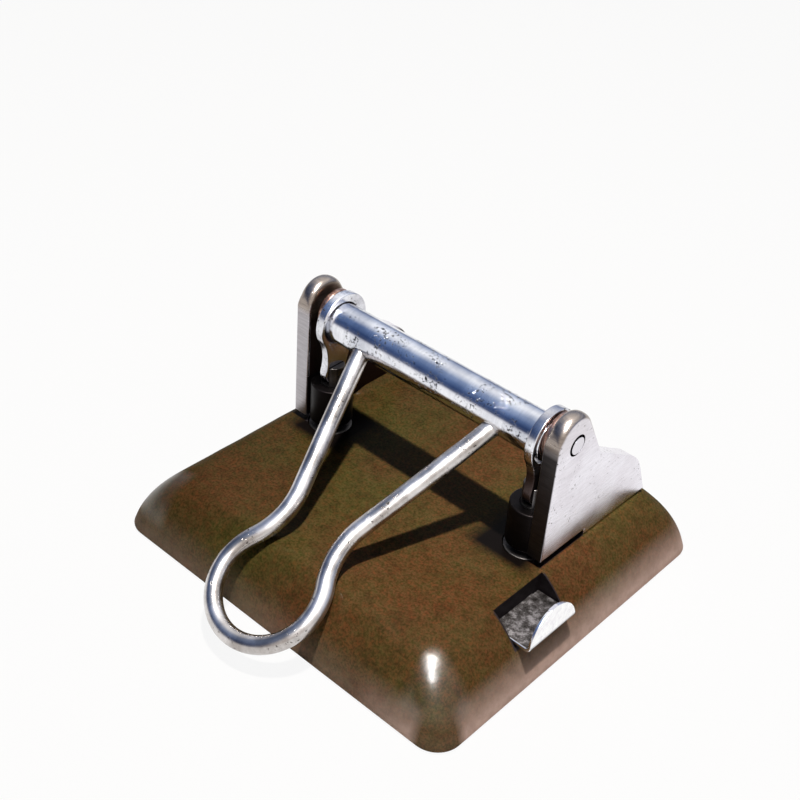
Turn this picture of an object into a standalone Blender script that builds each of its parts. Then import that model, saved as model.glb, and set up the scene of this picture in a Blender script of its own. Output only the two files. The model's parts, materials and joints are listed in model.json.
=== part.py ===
"""Two-hole paper perforating machine.

A cast base carries two steel brackets, and an eccentric shaft between them is turned by a wire handle.
Units are metres. +X is to the right, +Y to the back and +Z up.
The origin is the middle of the base's underside.
At rest the handle is down on the front of the base and both punches are down in their dies.
"""
import math

import bmesh
import bpy
from mathutils import Matrix, Vector

# Paper and stroke
HOLE_SPACING = 0.06985          # between the centres of the two punched holes
PUNCH_SHIFT = 0.0006            # the two punches and the shaft stand this far right of the base's middle
PUNCH_RADIUS = 0.003175
PUNCH_LINE_Y = 0.0024           # the punches stand on this line
THROAT_HEIGHT = 0.0020          # slot that takes the sheets
THROAT_DEPTH = 0.0133           # from the punch line back to the end of the slot
DIE_ENTRY = 0.0010              # how far a punch is down in its die at rest
TIP_NOTCH = 0.0008              # depth of the shearing notch across a punch's tip

# Clearances
SEAT_GAP = 0.00020              # between faces that rest on each other
RUNNING_GAP = 0.00020           # round a journal, and round the barrel in an eye
PUNCH_GAP = 0.00008             # round a punch in its guide and its die
SLIDE_GAP = 0.00030             # round the gauge strip
EYE_SLACK = 0.00005             # added to the running gap in a strap's large eye
HANDLE_REST_GAP = 0.00030       # between the wire and the rounded front crease

# Cast base
BASE_WIDTH = 0.1140
BASE_DEPTH = 0.1070
BASE_HEIGHT = 0.0182
FRONT_RUN = 0.0101              # how far the front and back slopes run out
PLATEAU_MARGIN = 0.0009         # flat left outside the brackets
SLOPE_TURN = math.radians(45)   # how much each bulging slope turns from top to foot
TOP_CORNER = 0.0045             # plan radius of a corner of the flat plateau
FOOT_CORNER = 0.0070            # plan radius of a corner at the foot
CREASE_RADIUS = 0.0060          # rounds the crease between plateau and slope
FOOT_EDGE = 0.0008
COVE_WIDTH = 0.0040             # hollow fillet along the inner foot of each bracket
COVE_HEIGHT = 0.0012
COVE_INSET = 0.0012             # the cove stops this far short of the throat and the heel
TOP_WALL = 0.0035
SIDE_WALL = 0.0045              # measured level, so the slope's own wall is thinner
PLATE_THICKNESS = 0.0012
PLATE_LEDGE = 0.0016            # width of the step that the bottom plate rests on
PLATE_SCREW_INSET = 0.0095      # from the base's foot to a bottom plate screw
PLATE_BOSS_RADIUS = 0.0040

# Brackets
EAR_THICKNESS = 0.0045
EAR_TO_PUNCH = 0.00036          # the right ear's inner face to the side of its punch
EAR_FRONT = 0.00505             # from the punch line forward to the ear's front edge
EAR_HEIGHT = 0.0429             # above the plateau, as is the neck's height
NECK_HEIGHT = 0.02686
EAR_TOP_RADIUS = 0.0068
EAR_SLOPE = math.radians(64)    # the three straight rear edges, below level
HAUNCH_SLOPE = math.radians(31)
HEEL_SLOPE = math.radians(66)
NECK_RADIUS = 0.0095
HAUNCH_RADIUS = 0.0150
HEEL_INSET = 0.0002             # the heel stops this far short of the rear crease
EAR_EDGE = 0.00035
CAP_RISE = 0.00130              # the ear's top is domed across its thickness by this much
CAP_SHARE = 0.97                # of the half thickness that the dome takes up
EDGE_STEPS = 3
BOSS_RADIUS = 0.0059            # punch guide boss at the foot of each bracket
BOSS_HEIGHT = 0.0118            # above the throat
BRACKET_SCREW_INSET = 0.0064    # from the throat's end and from the heel

# Eccentric shaft and handle
BARREL_BACK = 0.0015            # the barrel's centre at rest behind the punch line
BARREL_HEIGHT = 0.0328          # the same centre above the plateau
ECCENTRICITY = 0.0019           # journal centre to barrel centre
CRANK_PHASE = math.radians(45)  # below level at rest, and above level when raised
BARREL_RADIUS = 0.0056
BARREL_EDGE = 0.0005
JOURNAL_RADIUS = 0.00235
JOURNAL_WEAR = 0.00025          # the ear's hole is worn this far up and forward of the journal
WASHER_RADIUS = 0.0062
WASHER_THICKNESS = 0.0016
WIRE_RADIUS = 0.00238
WIRE_SEAT_DEPTH = 0.0015        # the wire's ends stop this far from the barrel's centre
LOOP_LENGTH = 0.0817            # barrel centre to the far end of the loop
LOOP_RADIUS = 0.01465           # round end of the loop
LOOP_WAIST = 0.0095             # half the distance between the legs at the waist
WAIST_RADIUS = 0.0200
LEG_SPREAD = math.radians(17)

# Links and punches
STRAP_THICKNESS = 0.0026
EYE_WALL = 0.00245
RING_BACK = 0.0009              # the ring's centre behind the barrel's
RING_DROP = 0.0004              # and below it
STRAP_WAIST_RADIUS = 0.0120
SMALL_EYE_RADIUS = 0.0038
SMALL_EYE_OVER_BOSS = 0.0004
LINK_PIN_RADIUS = 0.0010
CHEEK_ABOVE_PIN = 0.0018

# Dies
DIE_RADIUS = 0.0060
DIE_HEIGHT = 0.0060
DIE_BOSS_RADIUS = 0.0074

# Paper gauge
GAUGE_Y = -0.0124
GAUGE_HALF_WIDTH = 0.0091       # in the pocket
GAUGE_TAIL_HALF_WIDTH = 0.0070  # inside the base
GAUGE_THICKNESS = 0.0009
GAUGE_DROP = 0.0067             # underside of the strip below the plateau
GAUGE_INNER_X = -0.0215
GAUGE_BEND_X = 0.05465
GAUGE_BEND_RADIUS = 0.0010
GAUGE_FLANGE = 0.0070           # length of the upturned half-moon flange
GAUGE_LEAN = math.radians(5)    # inward lean of the flange
GAUGE_BLUNTNESS = 0.15          # width left at the flange's top, as a share
GAUGE_LUG = 0.0014              # downturned stop at the inner end
POCKET_SIDE_GAP = 0.0004        # beside the strip in its pocket
POCKET_WALL = 0.0035
POCKET_DEPTH = 0.0075           # pocket floor below the plateau
KEEPER_X = 0.0180
KEEPER_LENGTH = 0.0160
KEEPER_THICKNESS = 0.0010
KEEPER_BOSS_RADIUS = 0.0028
SPRING_THICKNESS = 0.0005
SPRING_WIDTH = 0.0100
SPRING_LENGTH = 0.0130

# Screws
SCREW_GAP = 0.00020
BRACKET_SCREW_RADIUS = 0.00145
BRACKET_SCREW_BITE = 0.0070     # length inside the ear
BRACKET_HEAD_RADIUS = 0.0027
SMALL_SCREW_RADIUS = 0.0010
SMALL_HEAD_RADIUS = 0.0021
PLATE_SCREW_RADIUS = 0.0012
PLATE_HEAD_RADIUS = 0.0026
SCREW_HEAD_HEIGHT = 0.0014
SCREW_SLOT_WIDTH = 0.0007
SCREW_SLOT_DEPTH = 0.0006
PLATE_SCREW_LENGTH = 0.0080

# Facets and other aids
AXIS_SIZE = 0.01                # of an axis as it is drawn
ROUND = 48
SMALL_ROUND = 32
TINY_ROUND = 20
ARC_STEP = math.radians(9)
BIG = 0.2                       # reach of a cutter that passes right through

# Places worked out from the sizes above
PUNCH_XS = {-1: PUNCH_SHIFT - HOLE_SPACING / 2, 1: PUNCH_SHIFT + HOLE_SPACING / 2}
EAR_INNER_X = PUNCH_XS[1] + PUNCH_RADIUS + EAR_TO_PUNCH
EAR_OUTER_X = EAR_INNER_X + EAR_THICKNESS
EAR_MIDDLE_X = (EAR_INNER_X + EAR_OUTER_X) / 2
CAP_DEPTH = CAP_SHARE * EAR_THICKNESS / 2
EAR_FRONT_Y = PUNCH_LINE_Y - EAR_FRONT
EAR_TOP_Z = BASE_HEIGHT + EAR_HEIGHT
NECK_Z = BASE_HEIGHT + NECK_HEIGHT
SEAT_Z = BASE_HEIGHT + SEAT_GAP
THROAT_TOP_Z = BASE_HEIGHT + THROAT_HEIGHT
THROAT_BACK_Y = PUNCH_LINE_Y + THROAT_DEPTH
BOSS_TOP_Z = THROAT_TOP_Z + BOSS_HEIGHT
PLATEAU_HALF_X = EAR_OUTER_X + PLATEAU_MARGIN
PLATEAU_HALF_Y = BASE_DEPTH / 2 - FRONT_RUN
HEEL_Y = PLATEAU_HALF_Y - HEEL_INSET
BRACKET_SCREW_YS = (THROAT_BACK_Y + BRACKET_SCREW_INSET, HEEL_Y - BRACKET_SCREW_INSET)
CEILING_Z = BASE_HEIGHT - TOP_WALL
PLATE_SEAT_Z = PLATE_THICKNESS + SEAT_GAP
PLATE_SCREW_Y = BASE_DEPTH / 2 - PLATE_SCREW_INSET
BARREL_Y = PUNCH_LINE_Y + BARREL_BACK
BARREL_Z = BASE_HEIGHT + BARREL_HEIGHT
PIVOT_Y = BARREL_Y + ECCENTRICITY * math.cos(CRANK_PHASE)
PIVOT_Z = BARREL_Z + ECCENTRICITY * math.sin(CRANK_PHASE)
EYE_RELIEF = ECCENTRICITY * (1 - math.cos(CRANK_PHASE))
STROKE = 2 * ECCENTRICITY * math.sin(CRANK_PHASE)
EYE_RADIUS = BARREL_RADIUS + RUNNING_GAP + EYE_SLACK
BARREL_HALF = HOLE_SPACING / 2 + STRAP_THICKNESS / 2 + SEAT_GAP
SMALL_EYE_Z = BOSS_TOP_Z + SMALL_EYE_OVER_BOSS + SMALL_EYE_RADIUS
GAUGE_UNDERSIDE_Z = BASE_HEIGHT - GAUGE_DROP
GAUGE_TOP_Z = GAUGE_UNDERSIDE_Z + GAUGE_THICKNESS
POCKET_FLOOR_Z = BASE_HEIGHT - POCKET_DEPTH
POCKET_HALF_WIDTH = GAUGE_HALF_WIDTH + POCKET_SIDE_GAP
KEEPER_TOP_Z = GAUGE_UNDERSIDE_Z - SLIDE_GAP
KEEPER_SCREW_OFFSET = GAUGE_TAIL_HALF_WIDTH + SLIDE_GAP + KEEPER_BOSS_RADIUS + SEAT_GAP


def clear_scene():
    for item in list(bpy.data.objects):
        bpy.data.objects.remove(item, do_unlink=True)


def make_material(name, colour, roughness, metallic):
    material = bpy.data.materials.new(name)
    material.use_nodes = True
    shader = material.node_tree.nodes["Principled BSDF"]
    shader.inputs["Base Color"].default_value = (*colour, 1.0)
    shader.inputs["Roughness"].default_value = roughness
    shader.inputs["Metallic"].default_value = metallic
    return material


def make_object(name, shape, material, origin=(0, 0, 0), parent=None):
    """Turn a bmesh in world coordinates into an object whose origin is given, and free the bmesh."""
    shape.transform(Matrix.Translation(-Vector(origin)))
    bmesh.ops.recalc_face_normals(shape, faces=shape.faces)
    mesh = bpy.data.meshes.new(name)
    shape.to_mesh(mesh)
    shape.free()
    mesh.shade_smooth()
    mesh.set_sharp_from_angle(angle=math.radians(35))
    item = bpy.data.objects.new(name, mesh)
    bpy.context.scene.collection.objects.link(item)
    place(item, origin, parent)
    if material:
        mesh.materials.append(material)
    return item


def place(item, origin, parent):
    item.location = origin
    if parent:
        item.parent = parent
        item.location = Vector(origin) - parent.location


def make_axis(name, location):
    """Empty on a joint's axis, which carries the pieces that move with the joint."""
    axis = bpy.data.objects.new(name, None)
    axis.empty_display_size = AXIS_SIZE
    axis.location = location
    bpy.context.scene.collection.objects.link(axis)
    return axis


def boolean(target, tool, operation):
    modifier = target.modifiers.new(operation.lower() + "_" + tool.name, "BOOLEAN")
    modifier.operation = operation
    modifier.solver = "EXACT"
    modifier.object = tool
    tool.hide_render = True
    tool.display_type = "WIRE"


def cut(target, name, shape):
    boolean(target, make_object(name, shape, None), "DIFFERENCE")


def fuse(target, name, shape):
    boolean(target, make_object(name, shape, None), "UNION")


def arc(centre, radius, start, end, step=ARC_STEP):
    """Points on an arc, both ends included, no two further apart than the step."""
    count = max(2, math.ceil(abs(end - start) / step))
    angles = [start + (end - start) * i / count for i in range(count + 1)]
    return [(centre[0] + radius * math.cos(a), centre[1] + radius * math.sin(a)) for a in angles]


def add_prism(shape, outline, axis, low, high):
    """Extrude a closed outline along X, Y or Z; the outline's pair is the other two axes in order."""
    index = "XYZ".index(axis)

    def corner(pair, level):
        values = list(pair)
        values.insert(index, level)
        return shape.verts.new(values)

    bottom = [corner(pair, low) for pair in outline]
    top = [corner(pair, high) for pair in outline]
    faces = [shape.faces.new(bottom), shape.faces.new(top)]
    for i, first in enumerate(bottom):
        after = (i + 1) % len(bottom)
        faces.append(shape.faces.new((first, bottom[after], top[after], top[i])))
    return faces


def prism(outline, axis, low, high):
    shape = bmesh.new()
    add_prism(shape, outline, axis, low, high)
    return shape


def outward_normals(outline):
    """Mitred normal at each point of a closed outline, so that an inset along it moves both edges alike."""
    count = len(outline)
    points = [Vector(point) for point in outline]
    area = sum(a.x * b.y - b.x * a.y for a, b in zip(points, points[1:] + points[:1]))
    turn = 1 if area > 0 else -1
    edges = [(points[(i + 1) % count] - points[i]).normalized() for i in range(count)]
    sides = [Vector((edge.y, -edge.x)) * turn for edge in edges]
    return [(sides[i - 1] + sides[i]) / (1 + sides[i - 1].dot(sides[i])) for i in range(count)]


def rounded_slab(outline, roundings, low, high):
    """A plate between two X levels with rounded rims.

    Each point has its own rounding, a quarter ellipse as deep in the outline's plane as its first size
    and as deep along X as its second.
    """
    shape = bmesh.new()
    normals = outward_normals(outline)
    rings = []
    for level, inward in ((low, 1), (high, -1)):
        turns = [math.pi / 2 * k / EDGE_STEPS for k in range(EDGE_STEPS + 1)][::inward]
        for turn in turns:
            ring = []
            for (y, z), normal, (rise, depth) in zip(outline, normals, roundings):
                inset = rise * (1 - math.sin(turn))
                x = level + inward * depth * (1 - math.cos(turn))
                ring.append(shape.verts.new((x, y - normal.x * inset, z - normal.y * inset)))
            rings.append(ring)
    for ring, after in zip(rings, rings[1:]):
        for k in range(len(ring)):
            nearby = (k + 1) % len(ring)
            shape.faces.new((ring[k], ring[nearby], after[nearby], after[k]))
    shape.faces.new(rings[0])
    shape.faces.new(rings[-1])
    return shape


def add_box(shape, low, high):
    outline = [(low[0], low[1]), (high[0], low[1]), (high[0], high[1]), (low[0], high[1])]
    add_prism(shape, outline, "Z", low[2], high[2])


def add_turned(shape, centre, axis, profile, sides):
    """Turn a profile of (radius, distance along the axis) about an axis through the centre."""
    index = "XYZ".index(axis)
    rings = []
    for radius, along in profile:
        ring = []
        for k in range(sides):
            angle = 2 * math.pi * (k + 0.5) / sides
            values = [centre[i] for i in range(3) if i != index]
            values[0] += radius * math.cos(angle)
            values[1] += radius * math.sin(angle)
            values.insert(index, centre[index] + along)
            ring.append(shape.verts.new(values))
        rings.append(ring)
    for ring, after in zip(rings, rings[1:]):
        for k in range(sides):
            nearby = (k + 1) % sides
            shape.faces.new((ring[k], ring[nearby], after[nearby], after[k]))
    shape.faces.new(rings[0])
    shape.faces.new(rings[-1])


def turned(centre, axis, profile, sides):
    shape = bmesh.new()
    add_turned(shape, centre, axis, profile, sides)
    return shape


def add_cylinder(shape, centre, axis, radius, low, high, sides):
    add_turned(shape, centre, axis, [(radius, low), (radius, high)], sides)


def slope_arcs(run):
    """The two arcs of a slope that runs out so far.

    The slope is an arc that turns by SLOPE_TURN over the base's height.
    A smaller arc, tangent to it and to the level plateau, rounds the crease.
    Returns the large arc's starting direction and radius, how far past the crease line the small arc's
    centre lies, and the direction in which the two arcs meet.
    """
    middle = math.atan2(BASE_HEIGHT, run)
    start = middle - SLOPE_TURN / 2
    end = middle + SLOPE_TURN / 2
    radius = BASE_HEIGHT / (math.cos(start) - math.cos(end))
    inner = radius - CREASE_RADIUS
    reach = math.sqrt(inner ** 2 - (radius * math.cos(start) - CREASE_RADIUS) ** 2)
    return start, radius, reach - radius * math.sin(start), math.asin(reach / inner)


def slope_run(drop, run):
    """How far the outside lies past the crease line after a drop."""
    start, radius, crease_centre, meet = slope_arcs(run)
    if drop < CREASE_RADIUS * (1 - math.cos(meet)):
        return crease_centre + math.sqrt(CREASE_RADIUS ** 2 - (CREASE_RADIUS - drop) ** 2)
    angle = math.acos(math.cos(start) - drop / radius)
    return radius * (math.sin(angle) - math.sin(start))


def rounded_rectangle(half_x, half_y, radius, corner_steps=5):
    points = []
    for quarter, (side_x, side_y) in enumerate([(1, 1), (-1, 1), (-1, -1), (1, -1)]):
        centre = (side_x * (half_x - radius), side_y * (half_y - radius))
        start = quarter * math.pi / 2
        points += arc(centre, radius, start, start + math.pi / 2, math.pi / 2 / corner_steps)
    return points


def base_section(z, inset):
    """Plan outline of the base at a height, drawn in by an inset."""
    drop = BASE_HEIGHT - z
    half_x = PLATEAU_HALF_X + slope_run(drop, BASE_WIDTH / 2 - PLATEAU_HALF_X) - inset
    half_y = PLATEAU_HALF_Y + slope_run(drop, FRONT_RUN) - inset
    radius = TOP_CORNER + (FOOT_CORNER - TOP_CORNER) * drop / BASE_HEIGHT
    return rounded_rectangle(half_x, half_y, radius)


def loft(sections):
    """Skin a stack of (height, outline) sections and cap both ends."""
    shape = bmesh.new()
    rings = [[shape.verts.new((x, y, z)) for x, y in outline] for z, outline in sections]
    for ring, after in zip(rings, rings[1:]):
        for k in range(len(ring)):
            nearby = (k + 1) % len(ring)
            shape.faces.new((ring[k], ring[nearby], after[nearby], after[k]))
    shape.faces.new(rings[0])
    shape.faces.new(rings[-1])
    return shape


def base_outside():
    """The slopes' levels are even in height, and those of the rounded crease even in direction."""
    slope_levels = 8
    crease_levels = 4
    crease_turn = slope_arcs(FRONT_RUN)[-1]
    crease_foot = BASE_HEIGHT - CREASE_RADIUS * (1 - math.cos(crease_turn))
    sections = [(0.0, base_section(FOOT_EDGE, FOOT_EDGE))]
    for i in range(slope_levels + 1):
        z = FOOT_EDGE + (crease_foot - FOOT_EDGE) * i / slope_levels
        sections.append((z, base_section(z, 0.0)))
    for i in range(1, crease_levels + 1):
        turn = crease_turn * (1 - i / crease_levels)
        z = BASE_HEIGHT - CREASE_RADIUS * (1 - math.cos(turn))
        sections.append((z, base_section(z, 0.0)))
    return loft(sections)


def base_cove(side):
    """Hollow fillet in the casting along the inner foot of a bracket, as (x, z)."""
    wall = EAR_INNER_X - SEAT_GAP
    low = BASE_HEIGHT - SEAT_GAP
    points = [(wall, low), (wall, BASE_HEIGHT + COVE_HEIGHT)]
    steps = 4
    for i in range(1, steps + 1):
        turn = math.pi / 2 * i / steps
        across = math.sin(turn)
        points.append((wall - COVE_WIDTH * across, BASE_HEIGHT + COVE_HEIGHT * (1 - across) ** 2))
    points.append((wall - COVE_WIDTH, low))
    outline = [(side * x, z) for x, z in points]
    return prism(outline, "Y", THROAT_BACK_Y + COVE_INSET, HEEL_Y - COVE_INSET - CREASE_RADIUS / 2)


def base_hollow():
    """Inside of the casting, with everything that hangs into it left out."""
    levels = 4
    sections = []
    for i in range(levels + 1):
        z = PLATE_SEAT_Z + (CEILING_Z - PLATE_SEAT_Z) * i / levels
        sections.append((z, base_section(z, SIDE_WALL)))
    hollow = make_object("hollow_cutter", loft(sections), None)
    kept = bmesh.new()
    for side in (-1, 1):
        add_cylinder(kept, (PUNCH_XS[side], PUNCH_LINE_Y, 0), "Z", DIE_BOSS_RADIUS,
                     BASE_HEIGHT - DIE_HEIGHT - SEAT_GAP, BASE_HEIGHT, SMALL_ROUND)
        add_cylinder(kept, (0, side * PLATE_SCREW_Y, 0), "Z", PLATE_BOSS_RADIUS, 0, BASE_HEIGHT, SMALL_ROUND)
        add_cylinder(kept, (KEEPER_X, GAUGE_Y + side * KEEPER_SCREW_OFFSET, 0), "Z", KEEPER_BOSS_RADIUS,
                     KEEPER_TOP_Z + SEAT_GAP, BASE_HEIGHT, TINY_ROUND)
    cut(hollow, "boss_cutter", kept)
    pocket = bmesh.new()
    add_box(pocket, (PLATEAU_HALF_X - POCKET_WALL, GAUGE_Y - POCKET_HALF_WIDTH - POCKET_WALL,
                     POCKET_FLOOR_Z - POCKET_WALL),
            (BIG, GAUGE_Y + POCKET_HALF_WIDTH + POCKET_WALL, BIG))
    cut(hollow, "pocket_wall_cutter", pocket)
    return hollow


def base_holes():
    """Round holes: dies, bracket screws with room for their heads, bottom plate screws and keeper screws."""
    shape = bmesh.new()
    for side in (-1, 1):
        add_cylinder(shape, (PUNCH_XS[side], PUNCH_LINE_Y, 0), "Z", DIE_RADIUS + SEAT_GAP,
                     0, BIG, SMALL_ROUND)
        head = BRACKET_HEAD_RADIUS + SCREW_GAP
        shank = BRACKET_SCREW_RADIUS + SCREW_GAP
        for y in BRACKET_SCREW_YS:
            profile = [(head, 0), (head, CEILING_Z), (shank, CEILING_Z), (shank, BIG)]
            add_turned(shape, (side * EAR_MIDDLE_X, y, 0), "Z", profile, TINY_ROUND)
        add_cylinder(shape, (0, side * PLATE_SCREW_Y, 0), "Z", PLATE_SCREW_RADIUS + SCREW_GAP,
                     0, PLATE_SCREW_LENGTH + PLATE_THICKNESS, TINY_ROUND)
        add_cylinder(shape, (KEEPER_X, GAUGE_Y + side * KEEPER_SCREW_OFFSET, 0), "Z",
                     SMALL_SCREW_RADIUS + SCREW_GAP, CEILING_Z / 2, CEILING_Z + SEAT_GAP, TINY_ROUND)
    return shape


def plate_outline(gap):
    """Plan outline of the bottom plate, or with no gap of the step that it lies in."""
    return base_section(PLATE_SEAT_Z, SIDE_WALL - PLATE_LEDGE + gap)


def build_base(enamel):
    base = make_object("base_casting", base_outside(), enamel)
    for side, hand in ((-1, "left"), (1, "right")):
        fuse(base, "cove_" + hand, base_cove(side))
    boolean(base, base_hollow(), "DIFFERENCE")
    cut(base, "plate_step_cutter", prism(plate_outline(0.0), "Z", -BIG, PLATE_SEAT_Z))
    cut(base, "hole_cutter", base_holes())
    recess = bmesh.new()
    add_box(recess, (PLATEAU_HALF_X, GAUGE_Y - POCKET_HALF_WIDTH, POCKET_FLOOR_Z),
            (BIG, GAUGE_Y + POCKET_HALF_WIDTH, BIG))
    cut(base, "pocket_cutter", recess)
    slot = bmesh.new()
    add_box(slot, (PLATEAU_HALF_X - 2 * POCKET_WALL, GAUGE_Y - GAUGE_TAIL_HALF_WIDTH - SLIDE_GAP,
                   GAUGE_UNDERSIDE_Z - SLIDE_GAP),
            (BIG, GAUGE_Y + GAUGE_TAIL_HALF_WIDTH + SLIDE_GAP, GAUGE_TOP_Z + SLIDE_GAP))
    cut(base, "slot_cutter", slot)
    return base


def angle_of(centre, point):
    return math.atan2(point[1] - centre[1], point[0] - centre[0])


def fillet(before, corner, after, radius):
    """Arc that rounds the corner between two straight edges."""
    corner = Vector(corner)
    back = (Vector(before) - corner).normalized()
    onward = (Vector(after) - corner).normalized()
    half = back.angle(onward) / 2
    centre = corner + (back + onward).normalized() * radius / math.sin(half)
    first = angle_of(centre, corner + back * radius / math.tan(half))
    last = angle_of(centre, corner + onward * radius / math.tan(half))
    sweep = (last - first + math.pi) % (2 * math.pi) - math.pi
    return arc(centre, radius, first, first + sweep)


def ear_outline():
    """Side outline of a bracket as (y, z), and the rounding of its rim at each point.

    The front is straight and the top round. Behind it a steep edge, a slanting haunch and a heel follow.
    The top is a dome, which grows out of the straight front edge.
    """
    facing = math.pi / 2 - EAR_SLOPE
    top_centre = Vector((EAR_FRONT_Y + EAR_TOP_RADIUS, EAR_TOP_Z - EAR_TOP_RADIUS))
    cap = arc(top_centre, EAR_TOP_RADIUS, math.pi, facing)
    slope_start = cap[-1]
    slope_rise = slope_start[1] - top_centre[1]
    neck = (slope_start[0] + (slope_start[1] - NECK_Z) / math.tan(EAR_SLOPE), NECK_Z)
    heel = (HEEL_Y, SEAT_Z)
    fall = NECK_Z - SEAT_Z - (HEEL_Y - neck[0]) * math.tan(HAUNCH_SLOPE)
    haunch_y = HEEL_Y - fall / (math.tan(HEEL_SLOPE) - math.tan(HAUNCH_SLOPE))
    haunch = (haunch_y, SEAT_Z + (HEEL_Y - haunch_y) * math.tan(HEEL_SLOPE))
    front = [(EAR_FRONT_Y, THROAT_TOP_Z)]
    rear = fillet(slope_start, neck, haunch, NECK_RADIUS) + fillet(neck, haunch, heel, HAUNCH_RADIUS)
    rear += [heel, (THROAT_BACK_Y, SEAT_Z), (THROAT_BACK_Y, THROAT_TOP_Z)]
    roundings = [(EAR_EDGE, EAR_EDGE)] * len(front)
    for point in cap:
        dome = min(1.0, (point[1] - top_centre[1]) / slope_rise)
        rise = EAR_EDGE + (CAP_RISE - EAR_EDGE) * dome
        depth = EAR_EDGE + (CAP_DEPTH - EAR_EDGE) * dome
        roundings.append((rise, depth))
    roundings += [(EAR_EDGE, EAR_EDGE)] * len(rear)
    return front + cap + rear, roundings


def build_bracket(name, side, steel):
    low, high = sorted((side * EAR_INNER_X, side * EAR_OUTER_X))
    outline, roundings = ear_outline()
    bracket = make_object(name, rounded_slab(outline, roundings, low, high), steel)
    punch_place = (PUNCH_XS[side], PUNCH_LINE_Y, 0)
    boss = bmesh.new()
    add_cylinder(boss, punch_place, "Z", BOSS_RADIUS, THROAT_TOP_Z, BOSS_TOP_Z, ROUND)
    fuse(bracket, name + "_boss", boss)
    holes = bmesh.new()
    add_cylinder(holes, punch_place, "Z", PUNCH_RADIUS + PUNCH_GAP, 0, BIG, SMALL_ROUND)
    cut(bracket, name + "_guide_cutter", holes)
    holes = bmesh.new()
    worn = (side * EAR_MIDDLE_X, PIVOT_Y - JOURNAL_WEAR * math.cos(CRANK_PHASE),
            PIVOT_Z + JOURNAL_WEAR * math.sin(CRANK_PHASE))
    add_cylinder(holes, worn, "X", JOURNAL_RADIUS + RUNNING_GAP + JOURNAL_WEAR,
                 -EAR_THICKNESS, EAR_THICKNESS, SMALL_ROUND)
    for y in BRACKET_SCREW_YS:
        add_cylinder(holes, (side * EAR_MIDDLE_X, y, 0), "Z", BRACKET_SCREW_RADIUS + SCREW_GAP,
                     0, SEAT_Z + BRACKET_SCREW_BITE + SCREW_GAP, TINY_ROUND)
    cut(bracket, name + "_hole_cutter", holes)
    return bracket


def build_die(name, side, steel):
    top = BASE_HEIGHT
    edge = SEAT_GAP
    profile = [(DIE_RADIUS - edge, top - DIE_HEIGHT), (DIE_RADIUS, top - DIE_HEIGHT + edge),
               (DIE_RADIUS, top - edge), (DIE_RADIUS - edge, top)]
    die = make_object(name, turned((PUNCH_XS[side], PUNCH_LINE_Y, 0), "Z", profile, SMALL_ROUND), steel)
    bore = bmesh.new()
    add_cylinder(bore, (PUNCH_XS[side], PUNCH_LINE_Y, 0), "Z", PUNCH_RADIUS + PUNCH_GAP, 0, BIG, SMALL_ROUND)
    cut(die, name + "_bore_cutter", bore)
    return die


def build_washer(name, side, bronze):
    near = PUNCH_SHIFT + side * (BARREL_HALF + SEAT_GAP)
    low, high = sorted((near, near + side * WASHER_THICKNESS))
    centre = (0, PIVOT_Y, PIVOT_Z)
    shape = bmesh.new()
    add_cylinder(shape, centre, "X", WASHER_RADIUS, low, high, ROUND)
    washer = make_object(name, shape, bronze)
    bore = bmesh.new()
    add_cylinder(bore, centre, "X", JOURNAL_RADIUS + RUNNING_GAP, low - EAR_THICKNESS, high + EAR_THICKNESS,
                 SMALL_ROUND)
    cut(washer, name + "_bore_cutter", bore)
    return washer


def handle_tilt():
    """Angle below level at which the straight legs rest on the rounded front crease."""
    crease_centre = slope_arcs(FRONT_RUN)[2]
    reach = BARREL_Y + PLATEAU_HALF_Y + crease_centre
    drop = BARREL_Z - BASE_HEIGHT + CREASE_RADIUS
    clear = CREASE_RADIUS + HANDLE_REST_GAP + WIRE_RADIUS
    return math.atan2(drop, reach) - math.asin(clear / math.hypot(drop, reach))


def handle_point(x, distance):
    """A point on the handle's plane, at a distance from the barrel's centre line."""
    tilt = handle_tilt()
    return Vector((x, BARREL_Y - distance * math.cos(tilt), BARREL_Z - distance * math.sin(tilt)))


def handle_half():
    """Right half of the wire's centre line as (x, distance): straight leg, waist, then round end."""
    loop_centre = LOOP_LENGTH - LOOP_RADIUS
    waist_x = LOOP_WAIST + WAIST_RADIUS
    centres = WAIST_RADIUS + LOOP_RADIUS
    waist_distance = loop_centre - math.sqrt(centres ** 2 - waist_x ** 2)
    meet = math.asin((loop_centre - waist_distance) / centres)
    leg_end_x = waist_x - WAIST_RADIUS * math.cos(LEG_SPREAD)
    leg_end = waist_distance - WAIST_RADIUS * math.sin(LEG_SPREAD)
    start_x = leg_end_x + (leg_end - WIRE_SEAT_DEPTH) * math.tan(LEG_SPREAD)
    points = [(start_x, WIRE_SEAT_DEPTH)]
    points += arc((waist_x, waist_distance), WAIST_RADIUS, math.pi + LEG_SPREAD, math.pi - meet)
    points += arc((0, loop_centre), LOOP_RADIUS, -meet, math.pi / 2)[1:]
    return points


def build_wire(steel, pivot):
    half = handle_half()
    path = half + [(-x, distance) for x, distance in reversed(half[:-1])]
    curve = bpy.data.curves.new("wire_handle", "CURVE")
    curve.dimensions = "3D"
    curve.bevel_depth = WIRE_RADIUS
    curve.bevel_resolution = 5
    curve.use_fill_caps = True
    spline = curve.splines.new("POLY")
    spline.points.add(len(path) - 1)
    for point, (x, distance) in zip(spline.points, path):
        point.co = (*(handle_point(x, distance) - pivot.location), 1.0)
    curve.materials.append(steel)
    wire = bpy.data.objects.new("wire_handle", curve)
    bpy.context.scene.collection.objects.link(wire)
    place(wire, pivot.location, pivot)
    return wire


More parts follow.
